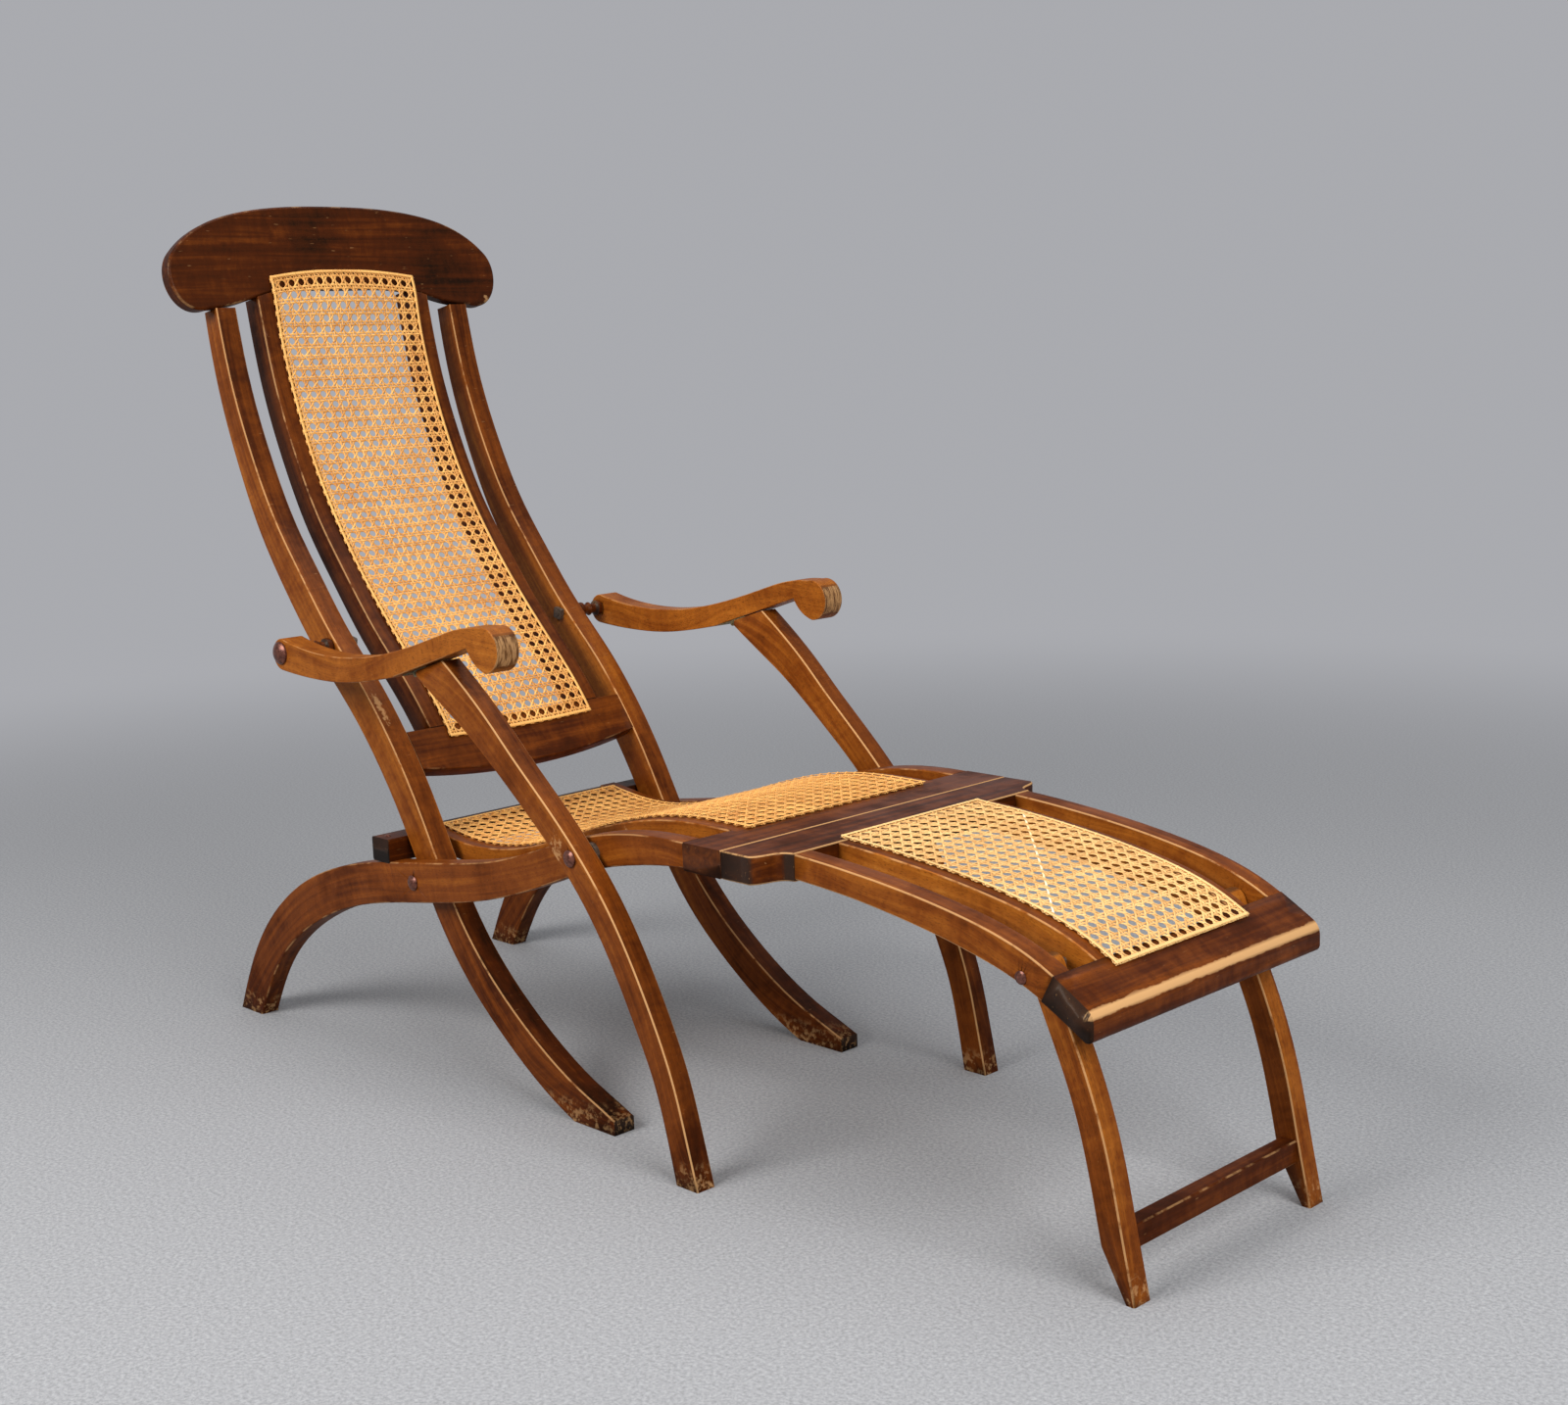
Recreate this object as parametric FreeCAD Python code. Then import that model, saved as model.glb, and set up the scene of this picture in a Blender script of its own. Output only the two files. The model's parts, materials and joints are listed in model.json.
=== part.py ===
"""A folding steamer deck chair with a caned seat, back and leg rest.

Millimetres, +Z up, +X towards the sitter's feet, +Y to the sitter's left. The origin is on the
floor under the middle of the chair's length and width. Every board is drawn as a spine in the side
view, which gives its centre line and its depth, and is then given its thickness across the chair.
"""
import FreeCAD
import Part
import math
import os

# Widths across the chair, as half widths from its centre plane
seat_half = 240.0          # outer faces of the seat's side rails
board = 27.0               # thickness of rails and legs
stile_board = 31.0         # thickness of the back's stiles
turning_gap = 1.0          # between two boards that turn past each other
rest_half = 199.0          # outer faces of the leg rest's side rails
seat_slot = 13.0           # between the back's stiles and the seat's inner stiles
back_slot = 37.0           # between the back's stiles and its inner stiles
rest_slot = 13.0           # between the front legs and the leg rest's inner stiles
crest_overhang = 34.0      # how far the crest rail's ends stand out past the seat
arm_overhang = 48.0        # how far the arms' outer faces stand out past the seat
arm_width = 33.0
leg_spacer = 6.0           # washer that holds a support leg off its rail
leg_air = 0.7              # left on each side of a splayed leg, where it leans
leg_splay = 0.0323         # how far a support leg leans outwards for each mm of height

# Depths and lengths of rails
inner_depth = 25.0         # depth of the seat's inner stiles under the cane
back_inner_depth = 36.0    # depth of the back's inner stiles
cane_margin = 10.0         # cane laid on the wood of its frame
cane_thick = 2.0
cane_seat = 0.3            # left between the cane's sheet and the boards that it lies on
cane_lap = 13.0            # cane laid on the rails at its ends
cane_mesh = 26.0           # from one opening of a web to the next
cane_opening = 15.0
cane_rim = 5.0             # unbroken web inside the wood that it lies on
seat_border = 18.0         # wood seen outside the seat's cane
back_border = 23.0         # wood seen outside the back's cane
rest_border = 15.0         # wood seen outside the leg rest's cane
rear_rail_width = 38.0
rear_rail_depth = 32.0
rear_rail_gap = 3.0        # between the rear rail and the back's stiles
rear_rail_drop = 85.0      # how far the rear rail lies below the knee rails
rear_rail_round = 3.0
front_rail_width = 62.0
knee_depth = 32.0          # thickness of the two rails that meet at the knee
rest_rear_width = 72.0
rest_front_width = 56.0
nose_trim = 11.0           # the nose ends this far short of the leg rest's last station
nose_round = 20.0
nose_chin = 8.0
ogee_run = 29.0            # length of the ogee that draws the knee rail in
ogee_lip = 8.0
ogee_depth = 12.0
crest_height = 146.0
crest_thick = 22.0
crest_round = 4.0
crest_inset = 0.6          # its flat face, behind the curved face of the stiles
crest_lip = 8.0            # flat under each end, past the stiles
crest_hollow = 26.0        # how far its lower edge is hollowed over the cane
crest_end_drop = 14.0
back_cane_low = 431.0
back_cane_high = 1047.0
foot_tip_x = 305.0         # front of the back's feet
lower_rail_height = 57.0
lower_rail_bow = 17.0
lower_rail_thick = 22.0
lower_rail_inset = 0.8     # its flat face, behind the curved face of the stiles
lower_rail_base = 396.0    # height of the lower rail's bottom edge where it meets the stiles
stretcher_height = 26.0
stretcher_depth = 20.0
stretcher_base = 46.5
foot_taper = 19.0          # how much a front foot narrows
foot_taper_height = 60.0
worn_edge = 1.6            # flat left on the long edges of every board
tenon_thick = 10.0
tenon_long = 18.0
tenon_shoulder = 7.0
long_edge = 100.0          # edges longer than this run along a rail
waste_reach = 300.0        # how far a cut runs on into waste

# Stations of the spines: along the chair, height, depth of the board
knee_x = 544.0             # line where seat and leg rest meet
SIDE_RAIL = [(-491, -18, 50), (-482, 0, 51), (-420, 101, 55), (-302, 193, 59), (-177, 239, 56),
             (-50, 262, 53), (45, 277, 51), (138, 297, 46), (240, 331, 43), (321, 358, 40),
             (400, 374, 36), (470, 380, 30), (500, 380.5, 28)]
BACK_STILE = [(322, -14, 46), (283, 3, 46), (225, 25, 47), (170, 53, 47), (107, 95, 46),
              (40, 152, 46), (-10, 212, 45), (-47, 273, 45), (-99, 364, 46), (-141, 424, 47),
              (-193, 484, 48), (-260, 549, 49), (-327, 627, 49), (-386, 707, 45),
              (-429, 789, 41), (-464, 876, 38), (-485, 954, 36), (-494, 1001, 34),
              (-504, 1051, 34), (-514, 1101, 34)]
stile_top = 1003.0         # height at which the crest rail sits on the stiles
SEAT_STILE = [(-125, 303), (-93, 299), (-57, 293.5), (-14, 291), (49, 295), (132, 313.5),
              (190, 332), (243, 349.5), (300, 365.5), (364, 378), (430, 382.5), (482, 382.5),
              (520, 382.5)]
SUPPORT_LEG = [(494, -20, 36), (489, 5, 36), (477, 60, 34), (461, 120, 34), (436, 180, 36),
               (406, 240, 36), (369, 300, 36), (328, 350, 36), (277, 400, 36), (219, 450, 38),
               (160, 500, 45), (104, 540, 52), (60, 570, 54)]
LEG_REST = [(600, 380.5, 28), (700, 373, 28.5), (790, 361, 31), (870, 345, 33), (930, 326, 33),
            (975, 303, 31), (1024, 273, 30)]
FRONT_LEG = [(918, 338, 28), (925, 318, 28), (955, 249, 28), (976, 197, 28), (994, 136, 29),
             (1010, 61, 29), (1023, 0, 29), (1027, -20, 29)]

# The arms: upper edge, straight underside pad, and the round scroll at the front
ARM_TOP = [(-200, 559), (-150, 555), (-99, 556), (-42, 563), (30, 579), (100, 599), (150, 613)]
ARM_UNDER = [(-215, 522), (-160, 520.5), (-102, 523), (-55, 529.5)]
ARM_EYE = (-241.6, 547.0)  # where these stations take the arm's pivot to be
arm_end_radius = 19.0
arm_brow = 3.0
arm_chin = 4.0
scroll_x, scroll_z, scroll_radius = 200.0, 591.0, 27.0
pad_start, pad_end = (5.0, 541.5), (166.0, 591.0)

# Pivots
back_pivot_x = -46.0
leg_pivot_x = 325.0
arm_pivot_height = 552.0
arm_pivot_share = 0.46     # how far it lies from the stile's centre line to its front
front_leg_pivot = (925.0, 318.0)
hinge_corner_x = 48.0      # rear top corner of a support leg, under the arm
bolt_radius = 4.0
bolt_play = 0.05
head_radius = 10.0
head_height = 5.0
knob_radius = 15.0
knob_height = 8.0
small_head_radius = 7.0
small_head_height = 2.5
nut_size = 16.0
nut_thick = 6.0
nut_stand = 2.0            # bolt seen beyond a nut
spacer_radius = 13.0
running_gap = 0.3
spool_radius = 11.0
barrel_radius = 4.0
knuckle_room = 4.9         # radius kept clear round a hinge's knuckles
pin_radius = 1.5
pin_end = 1.0
leaf_thick = 1.6
leaf_width = 26.0
knee_leaf_length = 60.0
arm_leaf_length = 24.0
knee_hinge_y = 150.0
screw_radius = 4.5

FAR = 3000.0
STEPS = 14


def vec(x, y, z):
    return FreeCAD.Vector(x, y, z)


class Spine:
    """A board's centre line in the side view, with its depth along it."""

    def __init__(self, stations):
        points = [vec(x, 0, z) for x, z, depth in stations]
        self.curve = Part.BSplineCurve()
        self.curve.interpolate(points)
        self.marks = [self.curve.parameter(point) for point in points]
        self.depths = [depth for x, z, depth in stations]

    def find(self, axis, value, share=0.0):
        """Parameter at which a line of the board has this x (axis 0) or z (axis 2)."""
        low, high = self.marks[0], self.marks[-1]
        rising = self.point(high, share)[axis] > self.point(low, share)[axis]
        for _ in range(50):
            middle = (low + high) / 2
            if (self.point(middle, share)[axis] < value) == rising:
                low = middle
            else:
                high = middle
        return low

    def at_x(self, x, share=0.0):
        return self.find(0, x, share)

    def at_z(self, z, share=0.0):
        return self.find(2, z, share)

    def depth(self, t):
        for a, b, da, db in zip(self.marks, self.marks[1:], self.depths, self.depths[1:]):
            if t <= b:
                return da + (db - da) * max(0, t - a) / (b - a)
        return self.depths[-1]

    def normal(self, t):
        """Unit vector square to the centre line, towards the sitter."""
        along = self.curve.tangent(t)[0]
        square = vec(-along.z, 0, along.x)
        return square if self.curve.value(self.marks[-1]).x > self.curve.value(self.marks[0]).x \
            else square.multiply(-1)

    def point(self, t, share=0.0, beyond=0.0):
        """Point on the centre line, or on an edge where share is 1 or -1, moved beyond it."""
        return self.curve.value(t) + self.normal(t) * (share * self.depth(t) / 2 + beyond)

    def beside(self, share, beyond, depth, first, last, count=STEPS):
        """A new spine that follows one edge of this one between two parameters."""
        stations = []
        for i in range(count + 1):
            point = self.point(first + (last - first) * i / count, share, beyond)
            stations.append((point.x, point.z, depth))
        return Spine(stations)


def spline_edge(points):
    curve = Part.BSplineCurve()
    curve.interpolate(points)
    return curve.toShape()


def outline_board(edges, thick):
    """A board with this side outline, from its plane towards +Y by its thickness."""
    return Part.Face(Part.Wire(edges)).extrude(vec(0, thick, 0))


def spine_board(spine, first, last, y, thick, lean=0.0, lean_height=0.0, count=STEPS):
    """A board along a spine. A lean moves it sideways in step with its height."""
    def leaned(point):
        return vec(point.x, y + lean * (point.z - lean_height), point.z)
    steps = [first + (last - first) * i / count for i in range(count + 1)]
    upper = [leaned(spine.point(t, 1)) for t in steps]
    lower = [leaned(spine.point(t, -1)) for t in reversed(steps)]
    edges = [spline_edge(upper), Part.makeLine(upper[-1], lower[0]),
             spline_edge(lower), Part.makeLine(lower[-1], upper[0])]
    return outline_board(edges, thick)


def keep(shape, x=(-FAR, FAR), y=(-FAR, FAR), z=(-FAR, FAR)):
    """The part of a shape inside a box."""
    box = Part.makeBox(x[1] - x[0], y[1] - y[0], z[1] - z[0], vec(x[0], y[0], z[0]))
    return shape.common(box)


def block(x, y, z):
    return Part.makeBox(x[1] - x[0], y[1] - y[0], z[1] - z[0], vec(x[0], y[0], z[0]))


def ease(solid, size=worn_edge, shortest=40.0):
    """Take a small flat off the long edges that run along a board."""
    edges = []
    for edge in solid.Edges:
        ends = [v.Point for v in edge.Vertexes]
        if len(ends) == 2 and edge.Length > shortest:
            if abs(ends[0].y - ends[1].y) < 0.5 * edge.Length:
                edges.append(edge)
    return solid.makeChamfer(size, edges)


def rod(x, z, y0, y1, radius):
    """A round bar across the chair."""
    low, high = min(y0, y1), max(y0, y1)
    return Part.makeCylinder(radius, high - low, vec(x, low, z), vec(0, 1, 0))


def turned(x, z, y0, side, profile):
    """A turned piece on an axis across the chair: profile is (distance outwards, radius)."""
    points = [vec(x, y0 + side * out, z + radius) for out, radius in profile]
    start = vec(x, points[0].y, z)
    end = vec(x, points[-1].y, z)
    wire = Part.makePolygon([start] + points + [end, start])
    return Part.Face(wire).revolve(vec(x, 0, z), vec(0, 1, 0), 360)


def domed(x, z, y_face, side, radius, height, inner_y):
    """A bolt with a domed head on the plane y_face and a shank to inner_y."""
    rim = height * 0.3
    top = vec(x, y_face + side * height, z)
    shoulder = vec(x, y_face + side * rim, z + radius)
    cheek = vec(x, y_face + side * height * 0.82, z + radius * 0.6)
    arc = Part.Arc(top, cheek, shoulder).toShape()
    lines = [(shoulder, vec(x, y_face, z + radius)),
             (vec(x, y_face, z + radius), vec(x, y_face, z + bolt_radius)),
             (vec(x, y_face, z + bolt_radius), vec(x, inner_y, z + bolt_radius)),
             (vec(x, inner_y, z + bolt_radius), vec(x, inner_y, z)),
             (vec(x, inner_y, z), top)]
    wire = Part.Wire([arc] + [Part.makeLine(a, b) for a, b in lines])
    return Part.Face(wire).revolve(vec(x, 0, z), vec(0, 1, 0), 360)


def square_nut(x, z, y0, y1, turn):
    """A square nut with its bevelled corners, threaded on a bolt's end."""
    low, high = min(y0, y1), max(y0, y1)
    nut = block((x - nut_size / 2, x + nut_size / 2), (low, high),
                (z - nut_size / 2, z + nut_size / 2))
    nut.rotate(vec(x, 0, z), vec(0, 1, 0), turn)
    nut = nut.common(rod(x, z, low, high, nut_size * 0.64))
    return nut.cut(rod(x, z, low, high, bolt_radius))


def both(make):
    """The same solid for the right side (-1) and the left side (+1), as one group."""
    return Part.makeCompound([make(-1), make(1)])


def across(side, inner, outer):
    """The lower y and the thickness of a board between two half widths, on one side."""
    return (inner if side > 0 else -outer), outer - inner


def largest(shape):
    return sorted(shape.Solids, key=lambda solid: solid.Volume)[-1]


PARTS = {}
NAMES = {-1: "right", 1: "left"}

# Half widths that follow from the driving sizes
rail_inner = seat_half - board
stile_outer = rail_inner - turning_gap
stile_inner = stile_outer - stile_board
rest_inner = rest_half - board
front_leg_outer = rest_inner - turning_gap
front_leg_inner = front_leg_outer - board
seat_stile_outer = stile_inner - seat_slot
seat_cane_half = seat_stile_outer - seat_border
seat_stile_inner = seat_cane_half - cane_margin
back_stile_outer = stile_inner - back_slot
back_cane_half = back_stile_outer - back_border
back_stile_inner = back_cane_half - cane_margin
rest_stile_outer = front_leg_inner - rest_slot
rest_cane_half = rest_stile_outer - rest_border
rest_stile_inner = rest_cane_half - cane_margin
crest_half = seat_half + crest_overhang
arm_half = seat_half + arm_overhang
arm_inner = arm_half - arm_width
leg_inner_at_pivot = seat_half + leg_spacer + leg_air
leg_outer_at_pivot = leg_inner_at_pivot + board + leg_air

# Spines and the lines that follow from them
side_rail = Spine(SIDE_RAIL)
back_stile = Spine(BACK_STILE)
support_leg = Spine(SUPPORT_LEG)
leg_rest = Spine(LEG_REST)
front_leg = Spine(FRONT_LEG)

front_rail_x = knee_x - front_rail_width
rest_rail_x = knee_x + rest_rear_width
rest_tip_x = LEG_REST[-1][0] - nose_trim
rest_front_x = rest_tip_x - rest_front_width
knee_top = side_rail.point(side_rail.at_x(front_rail_x), 1).z
knee_low = knee_top - knee_depth

back_pivot = side_rail.point(side_rail.at_x(back_pivot_x))
leg_pivot = side_rail.point(side_rail.at_x(leg_pivot_x))
arm_pivot = back_stile.point(back_stile.at_z(arm_pivot_height, arm_pivot_share), arm_pivot_share)
rest_pivot = vec(front_leg_pivot[0], 0, front_leg_pivot[1])
knee_pivot = vec(knee_x, 0, knee_low - barrel_radius - running_gap)

seat_spine = Spine([(x, z, inner_depth) for x, z in SEAT_STILE])
rear_rail_front = back_stile.point(back_stile.at_z(knee_top - rear_rail_drop, -1), -1).x - rear_rail_gap
rear_rail_x = rear_rail_front - rear_rail_width


# Seat frame
def make_side_rail(side, mortise):
    y, thick = across(side, rail_inner, seat_half)
    body = ease(spine_board(side_rail, side_rail.marks[0], side_rail.marks[-1], y, thick, count=22))
    body = keep(body, x=(-FAR, front_rail_x), z=(0, FAR))
    middle = side * (rail_inner + board / 2)
    tenon = block((front_rail_x - 1, front_rail_x + tenon_long * 2),
                  (middle - tenon_thick / 2, middle + tenon_thick / 2),
                  (knee_low + tenon_shoulder, knee_top - tenon_shoulder))
    body = body.fuse(tenon).cut(mortise)
    for pivot in (back_pivot, leg_pivot):
        body = body.cut(rod(pivot.x, pivot.z, y, y + thick, bolt_radius))
    return body.removeSplitter()


def make_rear_rail():
    """The rail that lies across the side rails behind the back's stiles."""
    top = seat_spine.point(seat_spine.at_x(rear_rail_front), 1).z
    body = block((rear_rail_x, rear_rail_x + rear_rail_width), (-seat_half, seat_half),
                 (top - rear_rail_depth, top))
    edges = [e for e in body.Edges if e.Length > long_edge]
    return body.makeFillet(rear_rail_round, edges)


def make_front_rail(side_rails):
    body = block((front_rail_x, knee_x - running_gap), (-seat_half, seat_half),
                 (knee_low, knee_top))
    edges = [e for e in body.Edges if e.Length > long_edge]
    body = body.makeChamfer(worn_edge, edges)
    for rail in side_rails:
        body = body.cut(rail)
    return body


def make_seat_stile(side, neighbours):
    y, thick = across(side, seat_stile_inner, seat_stile_outer)
    body = ease(spine_board(seat_spine, seat_spine.marks[0], seat_spine.marks[-1], y, thick))
    for piece in neighbours:
        body = body.cut(piece)
    return largest(body)


def pierce(web, spine, first, last, half):
    """Cut a plain grid of square openings through a web, between two lines of its spine."""
    reach = half - cane_margin - cane_rim
    columns = int((2 * reach + cane_mesh - cane_opening) / cane_mesh)
    line = spine.curve.toShape(first, last)
    rows = int((line.Length - 2 * cane_rim + cane_mesh - cane_opening) / cane_mesh)
    margin = (line.Length - (rows - 1) * cane_mesh) / 2
    tools = []
    for row in range(rows):
        t = spine.curve.parameterAtDistance(margin + row * cane_mesh, first)
        place = spine.point(t, 1)
        along = spine.curve.tangent(t)[0]
        tilt = math.degrees(math.atan2(-along.z, along.x))
        for column in range(columns):
            y = (column - (columns - 1) / 2) * cane_mesh
            tool = block((-cane_opening / 2, cane_opening / 2),
                         (y - cane_opening / 2, y + cane_opening / 2),
                         (-4 * cane_thick, 4 * cane_thick))
            tool.rotate(vec(0, 0, 0), vec(0, 1, 0), tilt)
            tool.translate(place)
            tools.append(tool)
    return web.cut(tools)


def make_cane(spine, first, last, half):
    """The caned web, a thin curved sheet that lies on the boards of its frame."""
    skin = spine.beside(1, cane_thick / 2 + cane_seat, cane_thick, first, last, 18)
    return spine_board(skin, skin.marks[0], skin.marks[-1], -half, 2 * half, count=18)


rear_rail = make_rear_rail()
seat_rails = {side: make_side_rail(side, rear_rail) for side in NAMES}
front_rail = make_front_rail(list(seat_rails.values()))
seat_stiles = {side: make_seat_stile(side, [rear_rail, front_rail]) for side in NAMES}

PARTS["seat_rear_rail"] = rear_rail
PARTS["seat_front_rail"] = front_rail
for side, name in NAMES.items():
    PARTS["seat_side_rail_" + name] = seat_rails[side]
    PARTS["seat_inner_stile_" + name] = seat_stiles[side]
seat_cane = make_cane(seat_spine, seat_spine.at_x(rear_rail_front - cane_lap),
                      seat_spine.at_x(front_rail_x + cane_lap), seat_cane_half)
PARTS["seat_cane_panel"] = pierce(seat_cane, seat_spine, seat_spine.at_x(rear_rail_front),
                                  seat_spine.at_x(front_rail_x), seat_cane_half)


# Back frame
stile_end = back_stile.at_z(stile_top)
crest_foot = back_stile.point(stile_end, 1, -crest_inset)


def tilt_at(spine, t):
    """How far a spine leans back from upright, in degrees."""
    along = spine.curve.tangent(t)[0]
    return math.degrees(math.atan2(-along.x, along.z))


crest_tilt = tilt_at(back_stile, stile_end)


def stood(shape, foot, tilt):
    """Lean a shape back, drawn upright on x = 0 and z = 0, and stand it on a foot point."""
    shape.rotate(vec(0, 0, 0), vec(0, 1, 0), -tilt)
    shape.translate(vec(foot.x, 0, foot.z))
    return shape


def crest_outline(thick, front=0.0):
    """The crest rail's outline: a low arch with rounded ends that hang over the stiles."""
    end, rise = crest_half, crest_height
    seat_y = stile_outer + crest_lip
    top = [(-end * 0.955, rise * 0.55), (-end * 0.83, rise * 0.74), (-end * 0.52, rise * 0.935),
           (0, rise), (end * 0.52, rise * 0.935), (end * 0.83, rise * 0.74),
           (end * 0.955, rise * 0.55)]
    right_end = [(end * 0.955, rise * 0.55), (end, rise * 0.27), (end - crest_end_drop, rise * 0.06),
                 (seat_y, 0)]
    hollow = crest_hollow
    under = [(seat_y, 0), (stile_inner, hollow * 0.19), (back_cane_half, hollow * 0.81),
             (0, hollow), (-back_cane_half, hollow * 0.81), (-stile_inner, hollow * 0.19),
             (-seat_y, 0)]
    left_end = [(-y, z) for y, z in reversed(right_end)]
    edges = [spline_edge([vec(front, y, z) for y, z in line])
             for line in (top, right_end, under, left_end)]
    return Part.Face(Part.Wire(edges)).extrude(vec(-thick, 0, 0))


def make_crest():
    body = crest_outline(crest_thick)
    rims = [edge for edge in body.Edges if edge.Length > 40]
    return stood(body.makeFillet(crest_round, rims), crest_foot, crest_tilt)


def lower_rail_outline(thick, deeper=0.0):
    """The back's lower rail, whose bottom edge bows down between the stiles."""
    half = lower_rail_height / 2
    low_left = vec(deeper, -stile_inner, -half)
    low_right = vec(deeper, stile_inner, -half)
    top_right = vec(deeper, stile_inner, half)
    top_left = vec(deeper, -stile_inner, half)
    bow = Part.Arc(low_left, vec(deeper, 0, -half - lower_rail_bow), low_right).toShape()
    edges = [bow] + [Part.makeLine(a, b) for a, b in
                     ((low_right, top_right), (top_right, top_left), (top_left, low_left))]
    return Part.Face(Part.Wire(edges)).extrude(vec(-thick, 0, 0))


lower_rail_t = back_stile.at_z(lower_rail_base + lower_rail_height * 0.43, 1)
lower_rail_point = back_stile.point(lower_rail_t, 1, -lower_rail_inset)
lower_rail_tilt = tilt_at(back_stile, lower_rail_t)


def make_lower_rail():
    body = lower_rail_outline(lower_rail_thick)
    body = body.makeChamfer(worn_edge, [e for e in body.Edges if e.Length > long_edge])
    half = lower_rail_height / 2 - tenon_shoulder
    middle = -lower_rail_thick / 2
    reach = stile_inner + tenon_long
    tenon = block((middle - tenon_thick / 2, middle + tenon_thick / 2), (-reach, reach),
                  (-half, half))
    return stood(body.fuse(tenon), lower_rail_point, lower_rail_tilt)


crest = make_crest()
lower_rail = make_lower_rail()
crest_space = stood(crest_outline(70, 20), crest_foot, crest_tilt)
lower_rail_space = stood(lower_rail_outline(70, 20), lower_rail_point, lower_rail_tilt)


def make_back_stile(side):
    y, thick = across(side, stile_inner, stile_outer)
    body = ease(spine_board(back_stile, back_stile.marks[0], stile_end, y, thick, count=26))
    body = keep(body, x=(-FAR, foot_tip_x), z=(0, FAR))
    body = body.cut(rod(back_pivot.x, back_pivot.z, y, y + thick, bolt_radius + bolt_play))
    body = body.cut(rod(arm_pivot.x, arm_pivot.z, y, y + thick, bolt_radius))
    return largest(body.cut(crest).cut(lower_rail))


inner_spine = back_stile.beside(1, -back_inner_depth / 2, back_inner_depth,
                                back_stile.at_z(lower_rail_base, 1),
                                back_stile.at_z(stile_top + 34), 20)


def make_back_inner(side):
    y, thick = across(side, back_stile_inner, back_stile_outer)
    body = ease(spine_board(inner_spine, inner_spine.marks[0], inner_spine.marks[-1], y, thick,
                            count=20))
    return largest(body.cut(crest_space).cut(lower_rail_space))


def make_back_cane():
    """The back's cane runs on to the crest and the lower rail, with an arched upper edge."""
    skin = back_stile.beside(1, cane_thick / 2 + cane_seat, cane_thick,
                             back_stile.at_z(lower_rail_base + 20, 1),
                             back_stile.at_z(back_cane_high + 20, 1), 20)
    body = spine_board(skin, skin.marks[0], skin.marks[-1], -back_cane_half, 2 * back_cane_half,
                       count=20)
    low, high, half = back_cane_low, back_cane_high, back_cane_half + 1
    corners = [vec(0, -half, low), vec(0, half, low), vec(0, half, high), vec(0, -half, high)]
    edges = [Part.Arc(corners[0], vec(0, 0, low - 4), corners[1]).toShape(),
             Part.makeLine(corners[1], corners[2]),
             Part.Arc(corners[2], vec(0, 0, high + 12), corners[3]).toShape(),
             Part.makeLine(corners[3], corners[0])]
    window = Part.Face(Part.Wire(edges)).extrude(vec(-FAR, 0, 0))
    return pierce(largest(body.common(window)), back_stile,
                  back_stile.at_z(lower_rail_base + lower_rail_height, 1),
                  back_stile.at_z(stile_top, 1), back_cane_half)


back_inners = {side: make_back_inner(side) for side in NAMES}
PARTS["crest_rail"] = crest
PARTS["back_lower_rail"] = lower_rail
for side, name in NAMES.items():
    PARTS["back_stile_" + name] = make_back_stile(side)
    PARTS["back_inner_stile_" + name] = back_inners[side]
PARTS["back_cane_panel"] = make_back_cane()


# Support legs and arms
pad_slope = (pad_end[1] - pad_start[1]) / (pad_end[0] - pad_start[0])
pad_angle = math.degrees(math.atan(pad_slope))


def on_pad(x, below=0.0):
    """Point under the arm's straight pad, square below it."""
    down = math.radians(pad_angle)
    z = pad_start[1] + (x - pad_start[0]) * pad_slope
    return vec(x + below * math.sin(down), 0, z - below * math.cos(down))


arm_hinge = on_pad(hinge_corner_x - barrel_radius - 1, barrel_radius + running_gap)


def make_support_leg(side):
    """A splayed leg whose mitred top carries the arm."""
    lean = side * leg_splay
    y = leg_inner_at_pivot if side > 0 else -leg_inner_at_pivot - board
    body = spine_board(support_leg, support_leg.marks[0], support_leg.marks[-1], y, board,
                       lean, leg_pivot.z, 20)
    body = ease(body)
    top = leaf_thick + running_gap
    corner = on_pad(hinge_corner_x, top)
    under_knuckle = vec(arm_hinge.x, 0, arm_hinge.z - knuckle_room)
    far = waste_reach
    over = [corner, on_pad(hinge_corner_x + far, top), on_pad(hinge_corner_x + far, -far),
            on_pad(-far, -far), vec(under_knuckle.x - far, 0, under_knuckle.z), under_knuckle]
    waste = Part.Face(Part.makePolygon(over + [over[0]]))
    waste.translate(vec(0, -FAR / 2, 0))
    body = body.cut(waste.extrude(vec(0, FAR, 0)))
    body = body.cut(rod(arm_hinge.x, arm_hinge.z, -FAR / 2, FAR / 2, knuckle_room))
    body = keep(body, z=(0, FAR))
    low, high = (0, FAR / 2) if side > 0 else (-FAR / 2, 0)
    return largest(body.cut(rod(leg_pivot.x, leg_pivot.z, low, high, bolt_radius + bolt_play)))


def arm_point(x, z):
    """A station of the arm, moved in step with its pivot where that isn't as drawn."""
    share = max(0.0, (pad_start[0] - x) / (pad_start[0] - ARM_EYE[0]))
    return vec(x + share * (arm_pivot.x - ARM_EYE[0]), 0, z + share * (arm_pivot.z - ARM_EYE[1]))


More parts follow.
